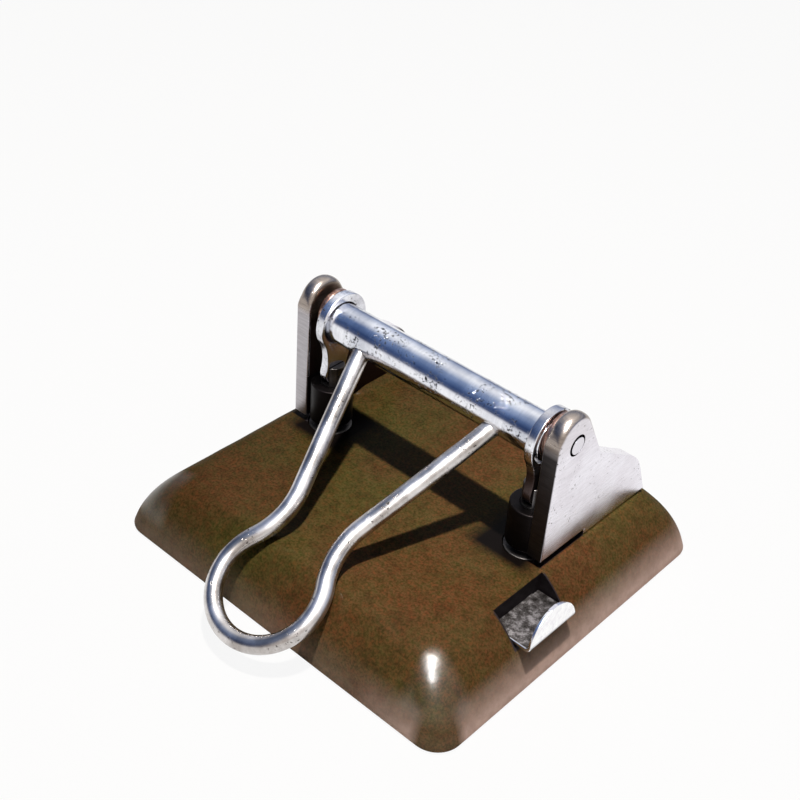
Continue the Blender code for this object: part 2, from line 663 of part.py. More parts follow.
def build_shaft(steel, pivot):
    """Barrel with an eccentric journal turned on each end, and two slanted holes for the wire."""
    centre = (PUNCH_SHIFT, BARREL_Y, BARREL_Z)
    profile = [(BARREL_RADIUS - BARREL_EDGE, -BARREL_HALF), (BARREL_RADIUS, -BARREL_HALF + BARREL_EDGE),
               (BARREL_RADIUS, BARREL_HALF - BARREL_EDGE), (BARREL_RADIUS - BARREL_EDGE, BARREL_HALF)]
    shaft = make_object("shaft_barrel", turned(centre, "X", profile, ROUND), steel, pivot.location, pivot)
    for side, name in ((-1, "journal_left"), (1, "journal_right")):
        low, high = sorted((side * (BARREL_HALF - EAR_THICKNESS), side * (EAR_OUTER_X - SEAT_GAP)))
        journal = bmesh.new()
        add_cylinder(journal, (0, PIVOT_Y, PIVOT_Z), "X", JOURNAL_RADIUS, low, high, SMALL_ROUND)
        fuse(shaft, name, journal)
    (start_x, start), (leg_x, leg) = handle_half()[:2]
    holes = bmesh.new()
    for side in (-1, 1):
        foot = handle_point(side * start_x, start)
        along = (handle_point(side * leg_x, leg) - foot).normalized()
        low = foot - along * SEAT_GAP
        reach = 2 * BARREL_RADIUS
        turn = along.to_track_quat("Z", "X").to_matrix().to_4x4()
        bmesh.ops.create_cone(holes, cap_ends=True, segments=TINY_ROUND, radius1=WIRE_RADIUS + SEAT_GAP,
                              radius2=WIRE_RADIUS + SEAT_GAP, depth=reach,
                              matrix=Matrix.Translation(low + along * reach / 2) @ turn)
    cut(shaft, "wire_hole_cutter", holes)
    return shaft


def circle_meeting(first, first_distance, second, second_distance, side):
    """The point at two given distances from two centres, on one side of the line between them."""
    first = Vector(first)
    line = Vector(second) - first
    gap = line.length
    along = (first_distance ** 2 - second_distance ** 2 + gap ** 2) / (2 * gap)
    across = math.sqrt(first_distance ** 2 - along ** 2)
    forward = line / gap
    return first + forward * along + Vector((-forward[1], forward[0])) * across * side


def strap_outline():
    """Side outline as (y, z): a large eye and a small one, joined by two hollow flanks."""
    large = (BARREL_Y + RING_BACK, BARREL_Z - RING_DROP)
    large_radius = EYE_RADIUS + EYE_WALL
    small = (PUNCH_LINE_Y, SMALL_EYE_Z)
    rear, front = [circle_meeting(large, large_radius + STRAP_WAIST_RADIUS, small,
                                  SMALL_EYE_RADIUS + STRAP_WAIST_RADIUS, side) for side in (1, -1)]
    start = angle_of(large, rear)
    end = angle_of(large, front) % (2 * math.pi)
    points = arc(large, large_radius, start, end)
    flank_start = angle_of(front, large)
    points += arc(front, STRAP_WAIST_RADIUS, flank_start, angle_of(front, small))[1:]
    low_start = angle_of(small, front) % (2 * math.pi)
    points += arc(small, SMALL_EYE_RADIUS, low_start, 2 * math.pi + angle_of(small, rear))[1:]
    flank_start = angle_of(rear, small) % (2 * math.pi)
    points += arc(rear, STRAP_WAIST_RADIUS, flank_start, angle_of(rear, large) % (2 * math.pi))[1:-1]
    return points


def eye_outline():
    """The barrel's hole, let out forward by as much as the barrel moves fore and aft."""
    step = 2 * math.pi / ROUND
    front = arc((BARREL_Y - EYE_RELIEF, BARREL_Z), EYE_RADIUS, math.pi / 2, 1.5 * math.pi, step)
    rear = arc((BARREL_Y, BARREL_Z), EYE_RADIUS, -math.pi / 2, math.pi / 2, step)
    return front + rear


def build_strap(name, side, steel, axis):
    low = PUNCH_XS[side] - STRAP_THICKNESS / 2
    high = PUNCH_XS[side] + STRAP_THICKNESS / 2
    strap = make_object(name, prism(strap_outline(), "X", low, high), steel, axis.location, axis)
    holes = prism(eye_outline(), "X", low - STRAP_THICKNESS, high + STRAP_THICKNESS)
    cut(strap, name + "_eye_cutter", holes)
    pin_hole = bmesh.new()
    add_cylinder(pin_hole, (0, PUNCH_LINE_Y, SMALL_EYE_Z), "X", LINK_PIN_RADIUS + SEAT_GAP,
                 low - STRAP_THICKNESS, high + STRAP_THICKNESS, TINY_ROUND)
    cut(strap, name + "_pin_cutter", pin_hole)
    return strap


def build_punch(name, side, steel, axis):
    """A round punch with a slotted head for the strap and a notched tip."""
    centre = (PUNCH_XS[side], PUNCH_LINE_Y, 0)
    tip = BASE_HEIGHT - DIE_ENTRY
    head = SMALL_EYE_Z + CHEEK_ABOVE_PIN
    shape = bmesh.new()
    add_cylinder(shape, centre, "Z", PUNCH_RADIUS, tip, head, SMALL_ROUND)
    punch = make_object(name, shape, steel, axis.location, axis)
    slot = bmesh.new()
    half = STRAP_THICKNESS / 2 + SEAT_GAP
    x, y = centre[:2]
    add_box(slot, (x - half, -BIG, SMALL_EYE_Z - SMALL_EYE_RADIUS - SEAT_GAP), (x + half, BIG, BIG))
    cut(punch, name + "_slot_cutter", slot)
    reach = 2 * PUNCH_RADIUS
    notch = prism([(y - reach, tip - 2 * TIP_NOTCH), (y, tip + TIP_NOTCH), (y + reach, tip - 2 * TIP_NOTCH)],
                  "X", x - reach, x + reach)
    cut(punch, name + "_notch_cutter", notch)
    pin_hole = bmesh.new()
    add_cylinder(pin_hole, (x, PUNCH_LINE_Y, SMALL_EYE_Z), "X", LINK_PIN_RADIUS + SEAT_GAP,
                 -reach, reach, TINY_ROUND)
    cut(punch, name + "_pin_cutter", pin_hole)
    return punch


def build_link_pin(name, side, steel, axis):
    half = math.sqrt(PUNCH_RADIUS ** 2 - LINK_PIN_RADIUS ** 2) - SEAT_GAP / 2
    shape = bmesh.new()
    centre = (PUNCH_XS[side], PUNCH_LINE_Y, SMALL_EYE_Z)
    add_cylinder(shape, centre, "X", LINK_PIN_RADIUS, -half, half, TINY_ROUND)
    return make_object(name, shape, steel, axis.location, axis)


def gauge_path():
    """Middle line of the gauge strip as (x, z, direction, half width).

    A stop lug comes first, then the narrow tail and the wide part in the pocket.
    The bend and the half-moon flange follow.
    """
    middle_z = GAUGE_UNDERSIDE_Z + GAUGE_THICKNESS / 2
    radius = GAUGE_BEND_RADIUS
    tail = GAUGE_TAIL_HALF_WIDTH
    lug_x = GAUGE_INNER_X + GAUGE_THICKNESS / 2
    path = [(lug_x, middle_z - radius - GAUGE_LUG, math.pi / 2, tail)]
    bend_steps = 4
    for i in range(bend_steps + 1):
        turn = math.pi / 2 * i / bend_steps
        path.append((lug_x + radius * (1 - math.cos(turn)), middle_z - radius + radius * math.sin(turn),
                     math.pi / 2 - turn, tail))
    step_x = PLATEAU_HALF_X + SEAT_GAP
    path.append((step_x, middle_z, 0.0, tail))
    path.append((step_x, middle_z, 0.0, GAUGE_HALF_WIDTH))
    rise = math.pi / 2 + GAUGE_LEAN
    bend_length = radius * rise
    length = bend_length + GAUGE_FLANGE
    flange_steps = 12
    for i in range(flange_steps + 1):
        share = math.sin(math.pi / 2 * i / flange_steps)
        along = share * length
        turn = min(along / radius, rise)
        x = GAUGE_BEND_X + radius * math.sin(turn) + max(0.0, along - bend_length) * math.cos(rise)
        z = middle_z + radius * (1 - math.cos(turn)) + max(0.0, along - bend_length) * math.sin(rise)
        width_share = math.cos(math.pi / 2 * i / flange_steps)
        path.append((x, z, turn, GAUGE_HALF_WIDTH * max(width_share, GAUGE_BLUNTNESS)))
    return path


def build_gauge(steel, axis):
    """Bent strip with a shoulder that stops it against the pocket's wall."""
    shape = bmesh.new()
    rings = []
    for x, z, turn, half in gauge_path():
        ring = []
        for face, edge in ((1, 1), (1, -1), (-1, -1), (-1, 1)):
            off = face * GAUGE_THICKNESS / 2
            corner = (x - math.sin(turn) * off, GAUGE_Y + edge * half, z + math.cos(turn) * off)
            ring.append(shape.verts.new(corner))
        rings.append(ring)
    for ring, after in zip(rings, rings[1:]):
        for k in range(4):
            nearby = (k + 1) % 4
            shape.faces.new((ring[k], ring[nearby], after[nearby], after[k]))
    shape.faces.new(rings[0])
    shape.faces.new(rings[-1])
    bmesh.ops.dissolve_degenerate(shape, edges=shape.edges, dist=SEAT_GAP / 1000)
    return make_object("gauge_slide", shape, steel, axis.location, axis)


def build_keeper(steel):
    """Plate under the gauge strip, held to two bosses in the casting."""
    half_width = KEEPER_SCREW_OFFSET + KEEPER_BOSS_RADIUS
    outline = rounded_rectangle(KEEPER_LENGTH / 2, half_width, KEEPER_BOSS_RADIUS / 2)
    outline = [(x + KEEPER_X, y + GAUGE_Y) for x, y in outline]
    shape = prism(outline, "Z", KEEPER_TOP_Z - KEEPER_THICKNESS, KEEPER_TOP_Z)
    keeper = make_object("gauge_keeper", shape, steel)
    holes = bmesh.new()
    for side in (-1, 1):
        add_cylinder(holes, (KEEPER_X, GAUGE_Y + side * KEEPER_SCREW_OFFSET, KEEPER_TOP_Z), "Z",
                     SMALL_SCREW_RADIUS + SCREW_GAP, -2 * KEEPER_THICKNESS, KEEPER_THICKNESS, TINY_ROUND)
    cut(keeper, "keeper_hole_cutter", holes)
    return keeper


def build_spring(steel):
    """Bowed leaf that presses the gauge strip down on its keeper."""
    low = GAUGE_TOP_Z + SEAT_GAP
    sag = CEILING_Z - SEAT_GAP - low - SPRING_THICKNESS
    half = SPRING_LENGTH / 2
    radius = (half ** 2 + sag ** 2) / (2 * sag)
    swing = math.asin(half / radius)
    steps = 10
    lower = []
    upper = []
    for i in range(steps + 1):
        turn = -swing + 2 * swing * i / steps
        x = KEEPER_X + radius * math.sin(turn)
        z = low + radius * (1 - math.cos(turn))
        lower.append((x, z))
        upper.append((x, z + SPRING_THICKNESS))
    shape = prism(lower + upper[::-1], "Y", GAUGE_Y - SPRING_WIDTH / 2, GAUGE_Y + SPRING_WIDTH / 2)
    return make_object("gauge_spring", shape, steel)


def build_plate(steel):
    plate = make_object("bottom_plate", prism(plate_outline(SEAT_GAP), "Z", 0.0, PLATE_THICKNESS), steel)
    holes = bmesh.new()
    for side in (-1, 1):
        profile = [(PLATE_HEAD_RADIUS + SCREW_GAP + PLATE_THICKNESS / 2, -PLATE_THICKNESS / 2),
                   (PLATE_SCREW_RADIUS + SCREW_GAP, PLATE_HEAD_RADIUS - PLATE_SCREW_RADIUS),
                   (PLATE_SCREW_RADIUS + SCREW_GAP, 2 * PLATE_HEAD_RADIUS)]
        add_turned(holes, (0, side * PLATE_SCREW_Y, 0), "Z", profile, TINY_ROUND)
    cut(plate, "plate_hole_cutter", holes)
    return plate


def build_screw(name, foot, profile, head_radius, steel):
    """A slotted screw that points up; the slot is across the underside of its head."""
    screw = make_object(name, turned(foot, "Z", profile, TINY_ROUND), steel)
    slot = bmesh.new()
    x, y, z = foot
    bottom = z + profile[0][1]
    add_box(slot, (x - 2 * head_radius, y - SCREW_SLOT_WIDTH / 2, bottom - SCREW_SLOT_DEPTH),
            (x + 2 * head_radius, y + SCREW_SLOT_WIDTH / 2, bottom + SCREW_SLOT_DEPTH))
    cut(screw, name + "_slot_cutter", slot)
    return screw


def pan_profile(head_radius, shank_radius, length):
    """Profile of a screw under a face at height zero: domed head below, shank above."""
    crown = SCREW_HEAD_HEIGHT / 3
    under = -SEAT_GAP
    bottom = under - SCREW_HEAD_HEIGHT
    return [(head_radius - crown, bottom), (head_radius, bottom + crown),
            (head_radius, under), (shank_radius, under), (shank_radius, length)]


def build_screws(steel):
    names = ("front", "rear")
    for side, hand in ((-1, "left"), (1, "right")):
        for y, place_name in zip(BRACKET_SCREW_YS, names):
            profile = pan_profile(BRACKET_HEAD_RADIUS, BRACKET_SCREW_RADIUS,
                                  SEAT_Z - CEILING_Z + BRACKET_SCREW_BITE)
            build_screw(f"bracket_screw_{hand}_{place_name}", (side * EAR_MIDDLE_X, y, CEILING_Z), profile,
                        BRACKET_HEAD_RADIUS, steel)
    for side, place_name in zip((-1, 1), names):
        keeper_foot = (KEEPER_X, GAUGE_Y + side * KEEPER_SCREW_OFFSET, KEEPER_TOP_Z - KEEPER_THICKNESS)
        profile = pan_profile(SMALL_HEAD_RADIUS, SMALL_SCREW_RADIUS, CEILING_Z - keeper_foot[2])
        build_screw("keeper_screw_" + place_name, keeper_foot, profile, SMALL_HEAD_RADIUS, steel)
        taper = PLATE_HEAD_RADIUS - PLATE_SCREW_RADIUS
        profile = [(PLATE_HEAD_RADIUS, SEAT_GAP / 2), (PLATE_SCREW_RADIUS, SEAT_GAP / 2 + taper),
                   (PLATE_SCREW_RADIUS, PLATE_SCREW_LENGTH)]
        foot = (0, side * PLATE_SCREW_Y, 0)
        build_screw("plate_screw_" + place_name, foot, profile, PLATE_HEAD_RADIUS, steel)


def build_machine():
    clear_scene()
    enamel = make_material("olive_brown_enamel", (0.115, 0.075, 0.030), 0.28, 0.0)
    ground = make_material("ground_steel", (0.62, 0.60, 0.60), 0.38, 1.0)
    polished = make_material("polished_steel", (0.66, 0.66, 0.68), 0.22, 1.0)
    tool = make_material("tool_steel", (0.36, 0.36, 0.38), 0.35, 1.0)
    bronze = make_material("tarnished_bronze", (0.23, 0.11, 0.06), 0.45, 1.0)
    plate = make_material("rolled_steel", (0.42, 0.42, 0.42), 0.45, 1.0)

    pivot = make_axis("handle_axis", (0, PIVOT_Y, PIVOT_Z))
    gauge_axis = make_axis("gauge_axis", (GAUGE_BEND_X, GAUGE_Y, GAUGE_TOP_Z))
    build_base(enamel)
    build_shaft(polished, pivot)
    build_wire(polished, pivot)
    for side, hand in ((-1, "left"), (1, "right")):
        punch_axis = make_axis("punch_axis_" + hand, (PUNCH_XS[side], PUNCH_LINE_Y, SMALL_EYE_Z))
        build_bracket("bracket_" + hand, side, ground)
        build_die("die_" + hand, side, tool)
        build_washer("washer_" + hand, side, bronze)
        build_strap("strap_" + hand, side, polished, punch_axis)
        build_punch("punch_" + hand, side, tool, punch_axis)
        build_link_pin("strap_pin_" + hand, side, tool, punch_axis)
    build_gauge(plate, gauge_axis)
    build_keeper(plate)
    build_spring(tool)
    build_plate(plate)
    build_screws(tool)
    print(f"pivot y {PIVOT_Y:.7f} z {PIVOT_Z:.7f}, stroke {STROKE * 1000:.3f} mm, "
          f"handle tilt {math.degrees(handle_tilt()):.2f} degrees")


build_machine()
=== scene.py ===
# %% [markdown]
# The paper perforating machine, dressed for its picture.
#
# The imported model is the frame: it says where every solid sits and how it moves. This file gives it finer
# surfaces and real finishes, so it starts by loading the frame and keeps the box that the solids fill.
# Every size below is in millimetres and is the same as in the solids, and one function turns them to
# metres.

# %% Load the frame
import json
import math

import bmesh
import bpy
import numpy as np
from mathutils import Matrix, Vector


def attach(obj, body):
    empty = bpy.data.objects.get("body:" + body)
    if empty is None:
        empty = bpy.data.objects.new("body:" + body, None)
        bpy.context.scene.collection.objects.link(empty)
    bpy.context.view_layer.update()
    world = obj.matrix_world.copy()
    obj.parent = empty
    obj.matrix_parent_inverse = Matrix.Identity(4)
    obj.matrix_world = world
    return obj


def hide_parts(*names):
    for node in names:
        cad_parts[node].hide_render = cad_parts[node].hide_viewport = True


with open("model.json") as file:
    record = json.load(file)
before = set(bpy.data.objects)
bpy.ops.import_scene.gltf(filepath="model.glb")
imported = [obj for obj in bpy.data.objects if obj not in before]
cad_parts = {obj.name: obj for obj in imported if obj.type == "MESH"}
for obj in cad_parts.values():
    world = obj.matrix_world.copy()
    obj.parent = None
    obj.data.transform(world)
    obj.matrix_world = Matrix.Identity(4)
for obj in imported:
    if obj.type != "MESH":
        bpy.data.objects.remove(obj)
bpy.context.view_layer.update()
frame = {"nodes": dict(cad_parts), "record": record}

MM = 0.001

# %% [markdown]
# The camera stands where the photographer stood. Its place was fitted to the corners of the base, the ears
# and the shaft, so straight edges of the machine fall on their edges in the photograph. The picture is a
# square, and the lens is given on a square 36 mm sensor. The photographer held the camera a little turned,
# which is the roll.

# %% Camera
CAMERA_PLACE = Vector((167.26, -209.10, 235.73)) * MM
CAMERA_AZIMUTH = math.radians(39.92)
CAMERA_ELEVATION = math.radians(35.55)
CAMERA_ROLL = math.radians(4.57)
SENSOR = 36.0
FOCAL_PIXELS = 1297.6
PHOTO_PIXELS = 800


def make_camera():
    """Right, up and backward axes: level right and straight up, then both turned by the roll."""
    forward = Vector((-math.sin(CAMERA_AZIMUTH) * math.cos(CAMERA_ELEVATION),
                      math.cos(CAMERA_AZIMUTH) * math.cos(CAMERA_ELEVATION),
                      -math.sin(CAMERA_ELEVATION)))
    level = Vector((math.cos(CAMERA_AZIMUTH), math.sin(CAMERA_AZIMUTH), 0))
    upright = level.cross(forward)
    right = math.cos(CAMERA_ROLL) * level + math.sin(CAMERA_ROLL) * upright
    up = math.cos(CAMERA_ROLL) * upright - math.sin(CAMERA_ROLL) * level
    data = bpy.data.cameras.new("photo_camera")
    data.sensor_width = SENSOR
    data.lens = FOCAL_PIXELS / PHOTO_PIXELS * SENSOR
    data.clip_start = 0.01
    camera = bpy.data.objects.new("photo_camera", data)
    camera.matrix_world = (Matrix.Translation(CAMERA_PLACE)
                           @ Matrix((right, up, -forward)).transposed().to_4x4())
    bpy.context.scene.collection.objects.link(camera)
    bpy.context.scene.camera = camera
    return camera


camera = make_camera()
bpy.context.scene.view_settings.view_transform = "Standard"
print("camera lens in mm:", round(camera.data.lens, 2))

# %% [markdown]
# A surface here is a stack of closed rings of points, worked out by numpy as one array of (ring, point,
# xyz). Neighbouring rings are joined by quads. A solid body closes its first and last ring with one face
# each, and a bored body, such as a washer, joins its last ring to its first. Writing shapes this way keeps
# each one a formula.

# %% Rings to a mesh


def settle(mesh, sharp_degrees):
    """Merge doubles, point the faces outwards, and shade smoothly but for edges sharper than the angle."""
    shape = bmesh.new()
    shape.from_mesh(mesh)
    bmesh.ops.remove_doubles(shape, verts=shape.verts, dist=1e-8)
    bmesh.ops.recalc_face_normals(shape, faces=shape.faces)
    shape.to_mesh(mesh)
    shape.free()
    mesh.shade_smooth()
    mesh.set_sharp_from_angle(angle=math.radians(sharp_degrees))


def skin(name, rings, bored=False, sharp_degrees=32):
    """Quads between rings: point k of a ring, its neighbour, and the same two points of the next ring."""
    rings = np.asarray(rings, float) * MM
    count, points = rings.shape[:2]
    index = np.arange(count * points).reshape(count, points)
    near = index if bored else index[:-1]
    far = np.roll(index, -1, 0) if bored else index[1:]
    quads = np.stack([near, np.roll(near, -1, 1), np.roll(far, -1, 1), far], -1)
    faces = quads.reshape(-1, 4).tolist()
    if not bored:
        faces += [index[0].tolist(), index[-1].tolist()]
    mesh = bpy.data.meshes.new(name)
    mesh.from_pydata(rings.reshape(-1, 3).tolist(), [], faces)
    settle(mesh, sharp_degrees)
    piece = bpy.data.objects.new(name, mesh)
    bpy.context.scene.collection.objects.link(piece)
    return piece


def carve(piece, tools, operation="DIFFERENCE", sharp_degrees=32):
    """Cut with, or join to, each tool by an exact Boolean, keep plain mesh and drop the tools."""
    for tool in tools:
        modifier = piece.modifiers.new("carve", "BOOLEAN")
        modifier.operation = operation
        modifier.solver = "EXACT"
        modifier.object = tool
    bpy.context.view_layer.update()
    depsgraph = bpy.context.evaluated_depsgraph_get()
    result = bpy.data.meshes.new_from_object(piece.evaluated_get(depsgraph))
    piece.modifiers.clear()
    piece.data = result
    settle(result, sharp_degrees)
    for tool in tools:
        bpy.data.objects.remove(tool)
    return piece


print("mesh helpers ready")

# %% [markdown]
# Most machine parts come from a lathe, a press or a file, and each has its own way of writing a surface. A
# turned part is a profile taken round an axis. A plate is an outline between two levels, with its rim
# rounded as a file leaves it. Bent wire is a circle carried along a path.

# %% Turned, plated and swept surfaces


def arc(centre, radius, start, end, step_degrees=3.0):
    """Points at equal angles on a circle, both ends included, no two further apart than the step."""
    count = max(2, math.ceil(abs(math.degrees(end - start)) / step_degrees))
    angles = np.linspace(start, end, count + 1)
    return np.asarray(centre) + radius * np.stack([np.cos(angles), np.sin(angles)], -1)


def turned(centre, axis, profile, sides=96):
    """Each (radius, distance along the axis) of the profile becomes a circle about the axis."""
    radius, along = np.array(profile, float).T
    angles = 2 * math.pi * (np.arange(sides) + 0.5) / sides
    across = radius[:, None, None] * np.stack([np.cos(angles), np.sin(angles)], -1)
    level = np.repeat(along[:, None], sides, 1)
    return np.insert(across, "XYZ".index(axis), level, axis=2) + np.asarray(centre, float)


def rounded_profile(radius, low, high, edge, steps=5):
    """Profile of a disc or pin: along the bottom, a quarter circle, the side and a quarter circle again."""
    turn = np.linspace(0, math.pi / 2, steps + 1)
    out = radius - edge * (1 - np.sin(turn))
    rise = edge * (1 - np.cos(turn))
    bottom = np.stack([out, low + rise], -1)
    top = np.stack([out, high - rise], -1)[::-1]
    hold = [[radius - 2 * edge, low]]
    return np.concatenate([hold, bottom, top, [[radius - 2 * edge, high]]])


def bored_profile(outer, inner, low, high, edge):
    """Closed profile of a ring with its four corners taken off, counted round the ring's section."""
    return [(inner + edge, low), (outer - edge, low), (outer - edge * 0.3, low + edge * 0.3),
            (outer, low + edge), (outer, high - edge), (outer - edge * 0.3, high - edge * 0.3),
            (outer - edge, high), (inner + edge, high), (inner, high - edge), (inner, low + edge)]


def outward_normals(outline):
    """Mitred normals of a closed outline: (n1 + n2) / (1 + n1.n2) for the normals of a point's two edges."""
    edges = np.roll(outline, -1, 0) - outline
    edges = edges / np.linalg.norm(edges, axis=1, keepdims=True)
    following = np.roll(outline, -1, 0)
    area = np.sum(outline[:, 0] * following[:, 1] - following[:, 0] * outline[:, 1])
    sides = np.stack([edges[:, 1], -edges[:, 0]], -1) * np.sign(area)
    before = np.roll(sides, 1, 0)
    return (before + sides) / (1 + np.sum(before * sides, 1))[:, None]


def rounded_slab(outline, rise, depth, low, high, hold=0.3, steps=7):
    """Plate of a (y, z) outline between two X levels, its rim a quarter ellipse of rise by depth.

    One more ring a little inside each flat face holds that face's shading flat."""
    turn = np.linspace(0, math.pi / 2, steps + 1)[:, None]
    inset = np.broadcast_to(rise, len(outline)) * (1 - np.sin(turn))
    sunk = np.broadcast_to(depth, len(outline)) * (1 - np.cos(turn))
    inset = np.vstack([inset[:1] + hold, inset])[..., None]
    sunk = np.vstack([sunk[:1], sunk])[..., None]
    flat = outline - outward_normals(outline) * inset
    near = np.concatenate([low + sunk, flat], -1)
    far = np.concatenate([high - sunk, flat], -1)[::-1]
    return np.concatenate([near, far])


def swept(path, binormal, radius, sides=32):
    """Circle carried along a flat path: path + radius (cos a normal + sin a binormal)."""
    tangent = np.gradient(path, axis=0)
    tangent = tangent / np.linalg.norm(tangent, axis=1, keepdims=True)
    normal = np.cross(tangent, binormal)
    angles = 2 * math.pi * np.arange(sides) / sides
    round_it = np.cos(angles)[None, :, None] * normal[:, None] + np.sin(angles)[None, :, None] * binormal
    return path[:, None] + radius * round_it


def block(low, high):
    """Box between two corners, as two rings of four points."""
    ring = [(low[0], low[1]), (high[0], low[1]), (high[0], high[1]), (low[0], high[1])]
    return [[(x, y, z) for x, y in ring] for z in (low[2], high[2])]


print("surface helpers ready")

# %% [markdown]
# A material is a graph of small nodes. One helper adds a node, sets its values and links its inputs, so
# that each finish below reads like a recipe. Colours are written as sRGB hex, as a paint chart gives them,
# and turned to the linear values that the shader wants. Patterns read Object coordinates, which here are
# the machine's own metres, so a pattern's size is a real size.

# %% Helpers for materials


def linear(hex_colour):
    """sRGB hex to linear RGBA: divide by 12.92 in the toe, and above it raise (c + 0.055) / 1.055 to 2.4."""
    values = [int(hex_colour[i:i + 2], 16) / 255 for i in (1, 3, 5)]
    return tuple(c / 12.92 if c <= 0.04045 else ((c + 0.055) / 1.055) ** 2.4 for c in values) + (1.0,)


def add_node(tree, kind, settings=None, inputs=None):
    """Add a node; a setting is an attribute, and an input is a value or another node's output socket."""
    node = tree.nodes.new(kind)
    for name, value in (settings or {}).items():
        setattr(node, name, value)
    for name, value in (inputs or {}).items():
        if isinstance(value, bpy.types.NodeSocket):
            tree.links.new(value, node.inputs[name])
        else:
            node.inputs[name].default_value = value
    return node


def add_ramp(tree, factor, stops):
    """Colour ramp from (position, hex colour) stops."""
    node = add_node(tree, "ShaderNodeValToRGB", inputs={"Fac": factor})
    elements = node.color_ramp.elements
    while len(elements) < len(stops):
        elements.new(0.5)
    for element, (position, colour) in zip(elements, stops):
        element.position = position
        element.color = linear(colour)
    return node.outputs["Color"]


def remap(tree, value, low, high, to_low, to_high):
    """Straight-line change of one range to another, held at its ends."""
    node = add_node(tree, "ShaderNodeMapRange", {"clamp": True},
                    {"Value": value, "From Min": low, "From Max": high, "To Min": to_low, "To Max": to_high})
    return node.outputs["Result"]


def noise(tree, place, size_mm, detail=4.0, roughness=0.5, stretch=(1, 1, 1)):
    """Noise whose blotches are about size_mm across; stretch makes them longer along an axis."""
    scale = [1 / (size_mm * MM * s) for s in stretch]
    moved = add_node(tree, "ShaderNodeMapping", inputs={"Vector": place, "Scale": scale})
    node = add_node(tree, "ShaderNodeTexNoise", inputs={"Vector": moved.outputs["Vector"], "Scale": 1.0,
                                                        "Detail": detail, "Roughness": roughness})
    return node.outputs["Fac"]


def blend(tree, kind, factor, first, second):
    """Mix two colours; a colour is a socket or a hex string."""
    ends = [value if isinstance(value, bpy.types.NodeSocket) else linear(value) for value in (first, second)]
    return add_node(tree, "ShaderNodeMixRGB", {"blend_type": kind},
                    {"Fac": factor, "Color1": ends[0], "Color2": ends[1]}).outputs["Color"]


def start_material(name):
    """A new material with its node tree, its shader, and the Object coordinates that its patterns read."""
    material = bpy.data.materials.new(name)
    material.use_nodes = True
    tree = material.node_tree
    shader = tree.nodes["Principled BSDF"]
    place = add_node(tree, "ShaderNodeTexCoord").outputs["Object"]
    return material, tree, shader, place


def bump(tree, height, depth_mm, strength=1.0, normal=None):
    """A relief of the given depth; Distance is the real depth that a height of one stands for."""
    inputs = {"Height": height, "Distance": depth_mm * MM, "Strength": strength}
    if normal:
        inputs["Normal"] = normal
    return add_node(tree, "ShaderNodeBump", inputs=inputs).outputs["Normal"]


print("material helpers ready")

# %% [markdown]
# The base is cast iron dipped in stove enamel. The casting is wavy, and the coat pools and thins over it,
# so it drifts between olive and a redder brown. Four noises do that: blotches of 26 mm for the drift, 3 mm
# for the mottle, 1.2 mm for specks of green and red, and 0.6 mm for the grain, which is drawn coarser than
# the real one so that the picture can hold it. Four more things each have their own box: a painted pale
# sheen, standing in for the white floor's reflection, on the low slopes, strongest on the right; painted
# shadow round the punch guides; painted shade, near black, in the throats, and a dark mottled grey in the
# gauge's pocket; and a polish on the front corners.

# %% Stove enamel on cast iron


def inside_box(tree, place, low_mm, high_mm, soft_mm=0.5, both_sides=True):
    """1 inside a box and 0 outside: the product of a rise and a fall along each axis.

    With both_sides, X counts without its sign, so that one box serves the left and the right of the machine.
    The softness is one length for all axes or a length for each."""
    parts = add_node(tree, "ShaderNodeSeparateXYZ", inputs={"Vector": place})
    total = 1.0
    for axis, low, high, soft in zip("XYZ", low_mm, high_mm, np.broadcast_to(soft_mm, 3).tolist()):
        value = parts.outputs[axis]
        if axis == "X" and both_sides:
            value = add_node(tree, "ShaderNodeMath", {"operation": "ABSOLUTE"}, {0: value}).outputs[0]
        rise = remap(tree, value, (low - soft) * MM, low * MM, 0, 1)
        fall = remap(tree, value, high * MM, (high + soft) * MM, 1, 0)
        both = add_node(tree, "ShaderNodeMath", {"operation": "MULTIPLY"}, {0: rise, 1: fall}).outputs[0]
        total = add_node(tree, "ShaderNodeMath", {"operation": "MULTIPLY"}, {0: total, 1: both}).outputs[0]
    return total


